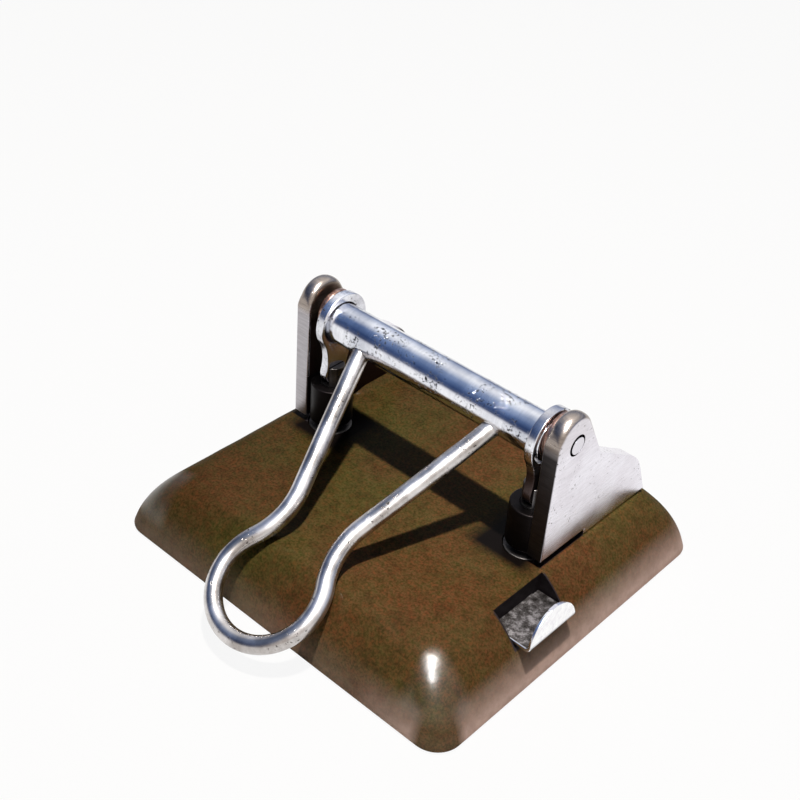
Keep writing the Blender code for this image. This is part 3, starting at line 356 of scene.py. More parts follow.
def make_enamel():
    """To the eye: brown-olive paint, matt and specked, with one sharp highlight on each front corner."""
    material, tree, shader, place = start_material("stove_enamel_on_cast_iron")
    drift = noise(tree, place, 26, 2.0, 0.5)
    mottle = noise(tree, place, 3.2, 5.0, 0.65)
    grain = noise(tree, place, 0.6, 2.0, 0.6)
    hue = noise(tree, place, 1.2, 5.0, 0.85)
    colour = add_ramp(tree, drift, [(0.36, "#605834"), (0.5, "#635235"), (0.66, "#6a4d34")])
    shade = add_ramp(tree, mottle, [(0.3, "#b8b2a0"), (0.5, "#efe9dc"), (0.7, "#ffffff")])
    colour = blend(tree, "MULTIPLY", 0.7, colour, shade)
    specks = add_ramp(tree, hue, [(0.34, "#a4c49c"), (0.5, "#bab9ae"), (0.66, "#dcae9e")])
    colour = blend(tree, "OVERLAY", 0.9, colour, specks)
    pores = add_ramp(tree, grain, [(0.34, "#8c8470"), (0.6, "#ffffff")])
    colour = blend(tree, "MULTIPLY", 0.6, colour, pores)
    parts = add_node(tree, "ShaderNodeSeparateXYZ", inputs={"Vector": place})
    left = remap(tree, parts.outputs["X"], -50 * MM, 10 * MM, 0.8, 0)
    colour = blend(tree, "MULTIPLY", left, colour, "#bfc6b8")
    # Painted sheen: a pale pink-grey over the low slopes, strongest on the right and faint at the front
    # corner, stands in for the white floor's reflection.
    lowness = remap(tree, parts.outputs["Z"], 2.5 * MM, 10.5 * MM, 1, 0)
    lowness = add_node(tree, "ShaderNodeMath", {"operation": "POWER"}, {0: lowness, 1: 1.2}).outputs[0]
    rightness = remap(tree, parts.outputs["X"], 30 * MM, 48 * MM, 0.2, 0.95)
    painted_floor_sheen = add_node(tree, "ShaderNodeMath", {"operation": "MULTIPLY"}, {0: lowness, 1: rightness}).outputs[0]
    painted_floor_sheen = add_node(tree, "ShaderNodeMath", {"operation": "MULTIPLY"},
                    {0: painted_floor_sheen, 1: remap(tree, mottle, 0.3, 0.6, 0.8, 1.05)}).outputs[0]
    corner = inside_box(tree, place, (50, -56, -1), (58, -46.5, 12), (3, 3, 1), False)
    painted_floor_sheen = add_node(tree, "ShaderNodeMath", {"operation": "MULTIPLY"},
                    {0: painted_floor_sheen, 1: remap(tree, corner, 0, 1, 1, 0.1)}).outputs[0]
    colour = blend(tree, "MIX", painted_floor_sheen, colour, "#bfa59b")
    # Painted shadow: near black on the plateau round each punch guide.
    painted_guide_shadow = inside_box(tree, place, (26, -5.5, 17.9), (39.2, 10, 19), (5, 3, 0.3))
    colour = blend(tree, "MIX", painted_guide_shadow, colour, "#120e0d")
    # Painted shade, near black, in each throat under a bracket; the gauge's pocket is near black to dark
    # grey, mottled.
    painted_throat_shade = inside_box(tree, place, (38.9, -2.3, 17.5), (43.4, 15.6, 18.6), 0.3)
    dark_pocket = inside_box(tree, place, (44.2, -22.2, 9.0), (52.5, -2.6, 17.6), 0.3, False)
    painted_light_and_tone = add_node(tree, "ShaderNodeMath", {"operation": "MAXIMUM"}, {0: painted_throat_shade, 1: dark_pocket}).outputs[0]
    colour = blend(tree, "MIX", painted_light_and_tone, colour, blend(tree, "MIX", mottle, "#0d0b0b", "#453f44"))
    tree.links.new(colour, shader.inputs["Base Color"])
    tree.links.new(remap(tree, mottle, 0.3, 0.7, 0.4, 0.55), shader.inputs["Roughness"])
    shader.inputs["Specular IOR Level"].default_value = 0.0
    rubbed = inside_box(tree, place, (44, -60, 8), (60, -42, 18), (3, 3, 3))
    tree.links.new(remap(tree, rubbed, 0, 1, 0.1, 1.0), shader.inputs["Coat Weight"])
    shader.inputs["Coat Roughness"].default_value = 0.28
    streaks = noise(tree, place, 5.0, 3.0, 0.5, (1.0, 1.6, 0.8))
    waves = bump(tree, streaks, 0.16, 0.8)
    tree.links.new(bump(tree, grain, 0.012, 0.7, waves), shader.inputs["Normal"])
    tree.links.new(waves, shader.inputs["Coat Normal"])
    return material


enamel = make_enamel()
print("made", enamel.name)

# %% [markdown]
# The brackets are steel, ground flat on their faces and filed along their edges. Grinding leaves fine
# parallel lines, and long handling has dulled them to a soft sheen with a few dark spots of old rust. Lines
# that run level come from noise stretched along X and Y and thin in Z. Painted shade makes the inner faces
# and the punch guides almost black, and the front of each journal hole black. On the front edges a painted
# reflection is dark on the right bracket and mid grey on the left. The domes are brown.

# %% Ground steel, turned steel, drawn wire


def make_steel(name, light, dark, rough, lines, line_depth, line_tone, pit_share,
               pit_colour="#4a423d", pit_mm=0.9, patches=()):
    """Bare steel: a cloudy tone, lines left by the tool, pits where the noise is lowest, and patches of
    painted shade, painted reflection and other tones.

    A patch is (low corner, high corner, softness, both sides, dark tone, light tone, share, roughness)."""
    material, tree, shader, place = start_material(name)
    cloud = noise(tree, place, 9.0, 3.0, 0.5)
    line = noise(tree, place, 0.35, 3.0, 0.6, lines)
    pits = noise(tree, place, pit_mm, 3.0, 0.7)
    rare = noise(tree, place, 6.0, 1.0, 0.5)
    tone = add_ramp(tree, cloud, [(0.34, dark), (0.6, light)])
    lined = add_ramp(tree, line, [(0.3, "#8c8c8c"), (0.6, "#ffffff")])
    tone = blend(tree, "MULTIPLY", line_tone, tone, lined)
    worn = remap(tree, pits, pit_share, pit_share + 0.05, 1.0, 0.0)
    spots = add_node(tree, "ShaderNodeMath", {"operation": "MULTIPLY"},
                     {0: worn, 1: remap(tree, rare, 0.46, 0.58, 0.0, 1.0)}).outputs[0]
    tone = blend(tree, "MIX", spots, tone, pit_colour)
    gloss = remap(tree, cloud, 0.3, 0.7, rough[0], rough[1])
    for low, high, soft, both_sides, dark_tone, light_tone, share, dull in patches:
        painted_light_and_tone = remap(tree, inside_box(tree, place, low, high, soft, both_sides), 0, 1, 0, share)
        tone = blend(tree, "MIX", painted_light_and_tone, tone, blend(tree, "MIX", line, dark_tone, light_tone))
        gloss = remap(tree, painted_light_and_tone, 0, 1, gloss, dull)
    tree.links.new(tone, shader.inputs["Base Color"])
    shader.inputs["Metallic"].default_value = 1.0
    tree.links.new(gloss, shader.inputs["Roughness"])
    ground = bump(tree, line, line_depth, 0.6)
    depth = add_node(tree, "ShaderNodeMath", {"operation": "SUBTRACT"}, {0: 1.0, 1: spots}).outputs[0]
    tree.links.new(bump(tree, depth, 0.04, 0.6, ground), shader.inputs["Normal"])
    return material


# Painted shade on the inner face in front and behind and on the punch guide; the dome's brown; painted
# reflection on the front edge, dark on the right and mid grey on the left; and painted shade in the journal
# hole's front.
BRACKET_PATCHES = [
    ((36.0, -1.8, 18.0), (39.15, 16.0, 70.0), 0.2, True, "#0e0808", "#3a2522", 1.0, 0.45),
    ((36.0, 16.0, 18.0), (39.15, 44.0, 32.0), (0.2, 0.2, 3.0), True, "#0e0808", "#3a2522", 1.0, 0.45),
    ((26.0, -5.0, 19.0), (39.15, 9.5, 33.0), 0.3, True, "#0c0a0a", "#262222", 1.0, 0.45),
    ((39.2, -3.0, 54.0), (43.3, 12.0, 63.0), (0.3, 0.3, 3.0), True, "#4a3e36", "#b8a896", 0.85, 0.28),
    # Painted reflection on the front edges: dark on the right bracket, mid grey on the left.
    ((39.3, -3.5, 19.0), (43.3, -2.2, 51.5), (0.25, 0.3, 4.0), False, "#0a0909", "#433f3f", 0.97, 0.36),
    ((-43.3, -3.5, 19.0), (-39.3, -2.2, 52.0), (0.25, 0.3, 3.0), False, "#7d797b", "#c5c1c4", 0.9, 0.3),
    ((39.3, 1.5, 49.5), (43.45, 6.2, 56.2), 0.05, True, "#040404", "#060606", 1.0, 0.6)]
# To the eye, ground steel is pale satin with fine level lines, turned steel is a mirror with clusters of
# pits, drawn wire is a softer and warmer grey, pressed plate is bright but for a brown tail, and tool steel
# is dark and oily.
ground_steel = make_steel("ground_steel_level_lines", "#f3f0f7", "#e4dfe6", (0.18, 0.24),
                          (12, 12, 0.8), 0.004, 0.16, 0.31, patches=BRACKET_PATCHES)
# Painted shade, black, on the journal's side inside the hole, and its end as bright as the ear.
JOURNAL_PATCHES = [
    ((38.9, 0.0, 51.0), (43.48, 6.2, 60.0), 0.02, True, "#040404", "#060606", 1.0, 0.6),
    ((43.52, 0.0, 45.0), (44.0, 9.0, 60.0), 0.02, True, "#dcd8de", "#e8e4ea", 0.9, 0.24)]
turned_steel = make_steel("turned_steel_lightly_pitted", "#f4f5fa", "#c9ccd6", (0.1, 0.17),
                          (0.8, 14, 14), 0.0015, 0.12, 0.385, "#26252c", 0.9, JOURNAL_PATCHES)
wire_steel = make_steel("drawn_wire_steel", "#e6e2e0", "#aea7a2", (0.22, 0.32), (6, 6, 6), 0.004, 0.25, 0.34)
# Painted shade, dark brown, on the tail of the right strap.
STRAP_PATCHES = [
    ((33.5, -9.0, 30.0), (37.5, 16.0, 42.5), (0.1, 0.1, 4.0), False, "#1c1412", "#56413a", 0.95, 0.4)]
strap_steel = make_steel("pressed_strap_steel", "#f2f3f8", "#c2c1c8", (0.14, 0.24),
                         (1, 1, 1), 0.006, 0.25, 0.36, patches=STRAP_PATCHES)
tool_steel = make_steel("hardened_tool_steel", "#7c7a7b", "#4b4744", (0.28, 0.42),
                        (10, 10, 0.8), 0.005, 0.3, 0.36)
print("made bare steels")

# %% [markdown]
# The gauge is rolled strip that has lain in a damp pocket: its face is mottled light and dark grey, and
# only the flange and the front edge, which fingers rub, are bright. The washers are bronze gone brown. The
# bottom plate and the screws are oiled black.

# %% Rolled strip, bronze and blackened steel


def make_mottled(name, stops, rough, size_mm):
    """Tarnish: one noise for the patches, glossier where they are paler, and one for their grain."""
    material, tree, shader, place = start_material(name)
    patch = noise(tree, place, size_mm, 6.0, 0.7)
    grain = noise(tree, place, 0.5, 3.0, 0.6)
    tone = add_ramp(tree, patch, stops)
    tone = blend(tree, "MULTIPLY", 0.5, tone, add_ramp(tree, grain, [(0.35, "#8a8a8a"), (0.6, "#ffffff")]))
    tree.links.new(tone, shader.inputs["Base Color"])
    shader.inputs["Metallic"].default_value = 1.0
    tree.links.new(remap(tree, patch, 0.3, 0.7, rough[1], rough[0]), shader.inputs["Roughness"])
    tree.links.new(bump(tree, grain, 0.02, 0.6), shader.inputs["Normal"])
    return material


# To the eye, the bronze is a pinkish brown and the blackened steel a dull charcoal.
bronze = make_mottled("tarnished_bronze", [(0.35, "#7c5c50"), (0.5, "#b08c7e"), (0.7, "#e0c4b6")],
                      (0.22, 0.42), 2.0)
black_steel = make_mottled("oil_blackened_steel", [(0.35, "#3a3837"), (0.55, "#575453"), (0.7, "#6e6a68")],
                           (0.35, 0.5), 4.0)


def make_gauge_strip():
    """Rolled strip whose flange is rubbed bright by the finger, and whose face in the pocket is mottled."""
    material, tree, shader, place = start_material("rolled_strip_steel")
    patch = noise(tree, place, 2.0, 6.0, 0.72)
    parts = add_node(tree, "ShaderNodeSeparateXYZ", inputs={"Vector": place})
    flange = remap(tree, parts.outputs["Z"], 12.45 * MM, 13.4 * MM, 0, 1)
    front_edge = remap(tree, parts.outputs["Y"], -21.35 * MM, -21.1 * MM, 1, 0)
    rubbed = add_node(tree, "ShaderNodeMath", {"operation": "MAXIMUM"}, {0: flange, 1: front_edge}).outputs[0]
    dull = add_ramp(tree, patch, [(0.36, "#2a2725"), (0.5, "#565251"), (0.64, "#9c9898")])
    bright = add_ramp(tree, patch, [(0.3, "#efedf0"), (0.6, "#ffffff")])
    tree.links.new(blend(tree, "MIX", rubbed, dull, bright), shader.inputs["Base Color"])
    shader.inputs["Metallic"].default_value = 1.0
    tree.links.new(remap(tree, rubbed, 0, 1, 0.5, 0.2), shader.inputs["Roughness"])
    tree.links.new(bump(tree, patch, 0.015, 0.5), shader.inputs["Normal"])
    return material


rolled_strip = make_gauge_strip()
print("made rolled, bronze and black finishes")

# %% [markdown]
# Each new piece stands for one solid of the frame. It takes that solid's body, so that it moves with it,
# and its material slot, and the solid itself stays behind for the collision model only.

# %% Dressing a node
BODY_OF = {node: body for body, nodes in frame["record"]["behaviour"]["bodies"].items() for node in nodes}


def dress(piece, node, finish):
    """Finish the piece and let it stand for the node."""
    piece.data.materials.clear()
    piece.data.materials.append(finish)
    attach(piece, BODY_OF[node])
    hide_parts(node)
    print(piece.name, "has", len(piece.data.polygons), "faces")
    return piece


# %% [markdown]
# The base's outside is a rounded rectangle at every height. Its slopes bulge: each is one arc that turns by
# 45 degrees from crease to foot, and a smaller arc rounds the crease. In plan, every point is a share of
# the corner centres plus the corner radius along its own normal, so one table of shares and normals gives
# all the levels. The crease is soft at the front and the back, softer at the front hips, and tight beside
# the brackets.

# %% Sizes of the base
BASE_HEIGHT = 18.2
BASE_HALF = (57.0, 53.5)
PLATEAU_HALF = (44.46, 43.4)
SLOPE_TURN = math.radians(45)
TOP_CORNER, FOOT_CORNER = 7.5, 7.0
SOFT_CREASE, TIGHT_CREASE, HIP_CREASE = 6.0, 2.4, 13.0
FOOT_EDGE = 0.8
SIDE_WALL = 4.5
CEILING = 14.7
PLATE_SEAT = 1.4
PLATE_LEDGE = 1.6


def rounded_table(corner_steps, side_points):
    """Rows of (share of x, share of y, normal x, normal y) once round a rounded rectangle."""
    signs = np.array([(1, 1), (-1, 1), (-1, -1), (1, -1)], float)
    rows = []
    for quarter in range(4):
        turn = math.pi / 2 * (quarter + np.linspace(0, 1, corner_steps + 1))
        here, following = signs[quarter], signs[(quarter + 1) % 4]
        normal = np.stack([np.cos(turn), np.sin(turn)], -1)
        rows.append(np.hstack([np.tile(here, (len(turn), 1)), normal]))
        share = np.linspace(0, 1, side_points + 2)[1:-1, None]
        between = here + (following - here) * share
        rows.append(np.hstack([between, np.tile(normal[-1], (side_points, 1))]))
    return np.vstack(rows)


def slope_run(drop, run, crease):
    """How far the outside lies past the crease line after a drop, for a slope that runs out so far.

    The slope arc starts 22.5 degrees above its chord. The crease arc touches it and the level plateau."""
    middle = np.arctan2(BASE_HEIGHT, run)
    start = middle - SLOPE_TURN / 2
    radius = BASE_HEIGHT / (np.cos(start) - np.cos(middle + SLOPE_TURN / 2))
    inner = radius - crease
    reach = np.sqrt(inner ** 2 - (radius * np.cos(start) - crease) ** 2)
    meet = np.arcsin(reach / inner)
    rounded = reach - radius * np.sin(start) + np.sqrt(np.maximum(crease ** 2 - (crease - drop) ** 2, 0))
    sloped = radius * (np.sin(np.arccos(np.cos(start) - drop / radius)) - np.sin(start))
    return np.where(drop < crease * (1 - np.cos(meet)), rounded, sloped)


def base_section(table, drop, inset, crease=SOFT_CREASE):
    """Plan points at a drop below the plateau: share * (half size - corner) + corner * normal."""
    corner = TOP_CORNER + (FOOT_CORNER - TOP_CORNER) * drop / BASE_HEIGHT
    half_x = PLATEAU_HALF[0] + slope_run(drop, BASE_HALF[0] - PLATEAU_HALF[0], crease) - inset
    half_y = PLATEAU_HALF[1] + slope_run(drop, BASE_HALF[1] - PLATEAU_HALF[1], crease) - inset
    x = table[:, 0] * (half_x - corner) + corner * table[:, 2]
    y = table[:, 1] * (half_y - corner) + corner * table[:, 3]
    return x, y


print("slope runs out at the front by", round(float(slope_run(np.array(BASE_HEIGHT), 10.1, 6.0)), 2), "mm")

# %% [markdown]
# A casting is never quite flat. Fourteen sine waves of 9 to 30 mm, with fixed directions, add up to the
# gentle swell that bends the reflections, and the surface sinks along its own normal by up to a tenth of a
# millimetre.

# %% The base's skin


def swell(points):
    """Mean of sine waves, each sin(2 pi p.d / length + phase), from 0 to 1."""
    chance = np.random.default_rng(11)
    direction = chance.normal(size=(14, 3))
    direction /= np.linalg.norm(direction, axis=1, keepdims=True)
    length = chance.uniform(9, 30, 14)
    phase = chance.uniform(0, 2 * math.pi, 14)
    waves = np.sin(2 * math.pi * (points @ direction.T) / length + phase)
    return 0.5 + 0.5 * waves.mean(-1) * 2.2


def smooth_step(value, low, high):
    """0 below low, 1 above high, and 3 t^2 - 2 t^3 between."""
    t = np.clip((value - low) / (high - low), 0, 1)
    return t * t * (3 - 2 * t)


def base_rings():
    """Foot, slope and crease from the bottom up, then the plateau as ever smaller copies of its edge."""
    table = rounded_table(14, 74)
    along = table[:, 1] * PLATEAU_HALF[1]
    beside = (np.abs(table[:, 2]) > 0.99) * smooth_step(along, -6, 1) * (1 - smooth_step(along, 37, 43))
    hip = smooth_step(-along, 28, 41) * smooth_step(np.abs(table[:, 0]) * PLATEAU_HALF[0], 28, 42)
    crease = SOFT_CREASE + (TIGHT_CREASE - SOFT_CREASE) * beside + (HIP_CREASE - SOFT_CREASE) * hip
    turn = np.linspace(0, math.pi / 2, 5)[:-1, None]
    foot_z = FOOT_EDGE * (1 - np.cos(turn))
    foot_inset = FOOT_EDGE * (1 - np.sin(turn))
    drop = (BASE_HEIGHT - FOOT_EDGE) * np.linspace(1, 0, 46)[:, None] ** 2.2
    parts = [(BASE_HEIGHT - FOOT_EDGE + 0 * foot_z, foot_inset, foot_z), (drop, 0 * drop, BASE_HEIGHT - drop)]
    rings = []
    for level, inset, z in parts:
        x, y = base_section(table, level, inset, crease)
        rings.append(np.stack([x, y, np.broadcast_to(z, x.shape)], -1))
    edge = rings[-1][-1]
    share = np.linspace(1, 0.03, 40)[1:, None, None]
    rings.append(np.concatenate([edge[None, :, :2] * share, np.full((39, len(edge), 1), BASE_HEIGHT)], -1))
    rings = np.concatenate(rings)
    normal = np.cross(np.roll(rings, -1, 1) - np.roll(rings, 1, 1), np.gradient(rings, axis=0))
    normal /= np.maximum(np.linalg.norm(normal, axis=-1, keepdims=True), 1e-9)
    depth = 0.05 + 0.07 * smooth_step(BASE_HEIGHT - rings[..., 2], 0.5, 4)
    depth = depth * smooth_step(rings[..., 2], 0.0, 1.5)
    return rings - normal * (depth * swell(rings))[..., None]


base = skin("enamelled_base", base_rings(), sharp_degrees=40)
print("base skin has", len(base.data.vertices), "points")

# %% [markdown]
# Enamel runs into the corner between each bracket and the plateau and stays there as a hollow fillet. It is
# a section of a quarter circle that dies away at both ends. Then the holes are cut: the hollow underneath
# with its bosses, the step for the bottom plate, the dies, the screws, and the pocket and slot for the
# gauge.

# %% Cut the base
EAR_INNER, EAR_OUTER = 39.06, 43.56
EAR_MIDDLE = (EAR_INNER + EAR_OUTER) / 2
PUNCH_X = {-1: -34.325, 1: 35.525}
PUNCH_Y = 2.4
THROAT_BACK = 15.7
HEEL_Y = 43.2
SCREW_YS = (22.1, 36.8)
PLATE_SCREW_Y = 44.0
GAUGE_Y = -12.4
POCKET_HALF, POCKET_FLOOR = 9.5, 10.7
KEEPER_X, KEEPER_Y = 18.0, 10.3
SIDES = {-1: "left", 1: "right"}
DIE_RADIUS, DIE_FLOOR, DIE_LEDGE = 6.0, 12.0, 1.4
DIE_FIT = 0.2
SCREW_HEAD, SCREW_SHANK = 2.9, 1.65
PLATE_BOSS, PLATE_THREAD, PLATE_THREAD_TOP = 4.0, 1.4, 9.2
KEEPER_BOSS, KEEPER_THREAD = 2.8, 1.2
KEEPER_BOSS_FOOT, KEEPER_THREAD_FOOT, KEEPER_THREAD_TOP = 11.4, 7.35, 14.9
POCKET_WALL = 3.5
STRIP_SLOT_HALF, STRIP_SLOT_LOW, STRIP_SLOT_HIGH, STRIP_SLOT_DEPTH = 7.3, 11.2, 12.7, 7.0
BELOW, ABOVE, BEYOND = -1, 18, 99


def cove_rings(side):
    """Fillet section (width w, height h) at each y: x = wall - w sin a, z = top + h (1 - sin a)^2."""
    wall = EAR_INNER - 0.2
    y = np.linspace(THROAT_BACK + 1.2, 39.0, 40)
    fade = np.sqrt(np.clip(np.minimum(y - y[0], y[-1] - y) / 4.0, 0.02, 1))[:, None]
    across = np.sin(np.linspace(0, math.pi / 2, 12))[None]
    x = np.concatenate([wall + 0 * fade, wall - 4.0 * fade * across, wall - 4.0 * fade], 1)
    low = np.full_like(fade, BASE_HEIGHT - 0.3)
    z = np.concatenate([low, BASE_HEIGHT - 0.12 + 1.3 * fade * (1 - across) ** 2, low], 1)
    return np.stack([side * x, np.broadcast_to(y[:, None], x.shape), z], -1)


def hollow_rings():
    """The inside follows the outside, one wall thickness further in."""
    z = np.linspace(PLATE_SEAT, CEILING, 12)[:, None]
    x, y = base_section(rounded_table(6, 6), BASE_HEIGHT - z, SIDE_WALL)
    return np.stack([x, y, np.broadcast_to(z, x.shape)], -1)


def upright(x, y, profile, sides=48):
    """A cutter or a boss that stands along Z at one place."""
    return skin("tool", turned((x, y, 0), "Z", profile, sides))


def cut_base():
    """Join the fillets, then take away the hollow, less what stays standing in it, and every hole."""
    carve(base, [skin("tool", cove_rings(side)) for side in SIDES], "UNION", 40)
    hollow = skin("hollow", hollow_rings())
    boss = DIE_RADIUS + DIE_LEDGE
    keep = [upright(PUNCH_X[side], PUNCH_Y, [(boss, DIE_FLOOR), (boss, ABOVE)]) for side in SIDES]
    keep += [upright(0, side * PLATE_SCREW_Y, [(PLATE_BOSS, BELOW), (PLATE_BOSS, ABOVE)]) for side in SIDES]
    keeper_boss = [(KEEPER_BOSS, KEEPER_BOSS_FOOT), (KEEPER_BOSS, ABOVE)]
    keep += [upright(KEEPER_X, GAUGE_Y + side * KEEPER_Y, keeper_boss) for side in SIDES]
    wall = POCKET_WALL
    pocket_low = (PLATEAU_HALF[0] - wall, GAUGE_Y - POCKET_HALF - wall, POCKET_FLOOR - wall)
    keep.append(skin("tool", block(pocket_low, (BEYOND, GAUGE_Y + POCKET_HALF + wall, BEYOND))))
    carve(hollow, keep)
    x, y = base_section(rounded_table(6, 6), np.array([[BASE_HEIGHT - PLATE_SEAT]]), SIDE_WALL - PLATE_LEDGE)
    step = [np.stack([x[0], y[0], 0 * x[0] + z], -1) for z in (-5, PLATE_SEAT)]
    tools = [hollow, skin("tool", step)]
    for side in SIDES:
        hole = DIE_RADIUS + DIE_FIT
        tools.append(upright(PUNCH_X[side], PUNCH_Y, [(hole, BELOW), (hole, 18.05), (hole + 0.3, 18.4)], 96))
        for y in SCREW_YS:
            profile = [(SCREW_HEAD, BELOW), (SCREW_HEAD, CEILING), (SCREW_SHANK, CEILING), (SCREW_SHANK, 30)]
            tools.append(upright(side * EAR_MIDDLE, y, profile))
        thread = [(PLATE_THREAD, BELOW), (PLATE_THREAD, PLATE_THREAD_TOP)]
        tools.append(upright(0, side * PLATE_SCREW_Y, thread))
        tools.append(upright(KEEPER_X, GAUGE_Y + side * KEEPER_Y,
                             [(KEEPER_THREAD, KEEPER_THREAD_FOOT), (KEEPER_THREAD, KEEPER_THREAD_TOP)]))
    tools.append(skin("tool", block((PLATEAU_HALF[0], GAUGE_Y - POCKET_HALF, POCKET_FLOOR),
                                    (BEYOND, GAUGE_Y + POCKET_HALF, BEYOND))))
    slot_low = (PLATEAU_HALF[0] - STRIP_SLOT_DEPTH, GAUGE_Y - STRIP_SLOT_HALF, STRIP_SLOT_LOW)
    tools.append(skin("tool", block(slot_low, (BEYOND, GAUGE_Y + STRIP_SLOT_HALF, STRIP_SLOT_HIGH))))
    carve(base, tools, "DIFFERENCE", 30)


cut_base()
dress(base, "base_casting", enamel)

# %% [markdown]
# A bracket is a thick steel plate with one ear. Its front is straight, its top is a dome, and behind the
# dome a steep edge, a slanting haunch and a short heel follow, with their corners rounded by a file. The
# outline is drawn once as (y, z) points, and the rounding of the rim grows from a third of a millimetre to
# the dome at the top.

# %% Ear outline
SEAT = 18.4
THROAT_TOP = 20.2
EAR_FRONT = -2.65
EAR_TOP = 61.08
CAP_RADIUS = 6.8
NECK_Z = 44.5
EAR_SLOPE, HAUNCH_SLOPE, HEEL_SLOPE = (math.radians(angle) for angle in (64, 31, 66))
NECK_RADIUS, HAUNCH_RADIUS = 9.5, 15.0
EDGE = 0.35
CAP_RISE, CAP_DEPTH = 1.3, 2.18


def fillet(before, corner, after, radius):
    """Arc that rounds a corner: its centre is on the bisector, radius / sin(half angle) away."""
    before, corner, after = (np.asarray(point, float) for point in (before, corner, after))
    back = (before - corner) / np.linalg.norm(before - corner)
    onward = (after - corner) / np.linalg.norm(after - corner)
    half = math.acos(float(back @ onward)) / 2
    middle = (back + onward) / np.linalg.norm(back + onward)
    centre = corner + middle * radius / math.sin(half)
    ends = [corner + side * radius / math.tan(half) - centre for side in (back, onward)]
    first, last = (math.atan2(end[1], end[0]) for end in ends)
    sweep = (last - first + math.pi) % (2 * math.pi) - math.pi
    return arc(centre, radius, first, first + sweep)


def ear_outline():
    facing = math.pi / 2 - EAR_SLOPE
    top = np.array((EAR_FRONT + CAP_RADIUS, EAR_TOP - CAP_RADIUS))
    cap = arc(top, CAP_RADIUS, math.pi, facing, 2.5)
    slope_start = cap[-1]
    neck = (slope_start[0] + (slope_start[1] - NECK_Z) / math.tan(EAR_SLOPE), NECK_Z)
    fall = NECK_Z - SEAT - (HEEL_Y - neck[0]) * math.tan(HAUNCH_SLOPE)
    haunch_y = HEEL_Y - fall / (math.tan(HEEL_SLOPE) - math.tan(HAUNCH_SLOPE))
    haunch = (haunch_y, SEAT + (HEEL_Y - haunch_y) * math.tan(HEEL_SLOPE))
    heel = (HEEL_Y, SEAT)
    rear = [fillet(slope_start, neck, haunch, NECK_RADIUS), fillet(neck, haunch, heel, HAUNCH_RADIUS),
            [heel, (THROAT_BACK, SEAT), (THROAT_BACK, THROAT_TOP)]]
    outline = np.vstack([[(EAR_FRONT, THROAT_TOP)], cap, *rear])
    dome = np.zeros(len(outline))
    dome[1:1 + len(cap)] = np.clip((cap[:, 1] - top[1]) / (slope_start[1] - top[1]), 0, 1)
    return outline, EDGE + (CAP_RISE - EDGE) * dome, EDGE + (CAP_DEPTH - EDGE) * dome


outline, rise, depth = ear_outline()
print("ear outline has", len(outline), "points")

# %% Brackets
PIVOT = (5.2435, 52.3435)
JOURNAL_WEAR = 0.55
HOLE_RADIUS = 2.95
BOSS_TOP, BOSS_RADIUS = 32.0, 5.9
GUIDE_BORE, GUIDE_EDGE = 3.255, 0.4


def make_bracket(side, hand):
    """The plate, joined to its punch guide, then bored for the punch, the worn journal and the screws."""
    low, high = sorted((side * EAR_INNER, side * EAR_OUTER))
    bracket = skin("ground_bracket_" + hand, rounded_slab(outline, rise, depth, low, high))
    boss = rounded_profile(BOSS_RADIUS, THROAT_TOP, BOSS_TOP, EDGE)
    carve(bracket, [upright(PUNCH_X[side], PUNCH_Y, boss, 96)], "UNION")
    worn = JOURNAL_WEAR * math.sqrt(0.5)
    hole = [(HOLE_RADIUS, -2.75), (HOLE_RADIUS, 2.75)]
    bore = [(GUIDE_BORE, 10), (GUIDE_BORE, BOSS_TOP - GUIDE_EDGE / 2),
            (GUIDE_BORE + GUIDE_EDGE, BOSS_TOP + GUIDE_EDGE / 2)]
    tools = [upright(PUNCH_X[side], PUNCH_Y, bore, 96),
             skin("tool", turned((side * EAR_MIDDLE, PIVOT[0] - worn, PIVOT[1] + worn), "X", hole, 72))]
    tools += [upright(side * EAR_MIDDLE, y, [(SCREW_SHANK, 10), (SCREW_SHANK, 25.6)]) for y in SCREW_YS]
    carve(bracket, tools)
    return dress(bracket, "bracket_" + hand, ground_steel)


for side, hand in SIDES.items():
    make_bracket(side, hand)

# %% [markdown]
# The handle is one bent wire: two straight legs that spread from the shaft, a waist, and a round end. Right
# of the middle it is a line, an arc that bends outwards and an arc that closes the loop, each tangent to
# the next. The legs are pushed into slanting holes in the barrel, so the barrel gets two swept cutters
# along the same lines.

# %% Wire handle
BARREL = (0.6, 3.9, 51.0)
BARREL_RADIUS, BARREL_HALF = 5.6, 36.425
WIRE_RADIUS, WIRE_CLEARANCE = 2.37, 0.01
LEG_HOLE_RADIUS, LEG_FOOT = 2.58, 1.5
LOOP_LENGTH, LOOP_RADIUS = 81.7, 14.65
LOOP_WAIST, WAIST_RADIUS = 9.5, 20.0
LEG_SPREAD = math.radians(17)
REST_GAP = 0.3


def handle_tilt():
    """Angle below level at which the legs lie on the crease: that to its arc's centre, less its radius."""
    run = BASE_HALF[1] - PLATEAU_HALF[1]
    middle = math.atan2(BASE_HEIGHT, run)
    start = middle - SLOPE_TURN / 2
    radius = BASE_HEIGHT / (math.cos(start) - math.cos(middle + SLOPE_TURN / 2))
    crease = math.sqrt((radius - SOFT_CREASE) ** 2 - (radius * math.cos(start) - SOFT_CREASE) ** 2)
    reach = BARREL[1] + PLATEAU_HALF[1] + crease - radius * math.sin(start)
    drop = BARREL[2] - BASE_HEIGHT + SOFT_CREASE
    away = SOFT_CREASE + REST_GAP + WIRE_RADIUS + WIRE_CLEARANCE
    return math.atan2(drop, reach) - math.asin(away / math.hypot(drop, reach))


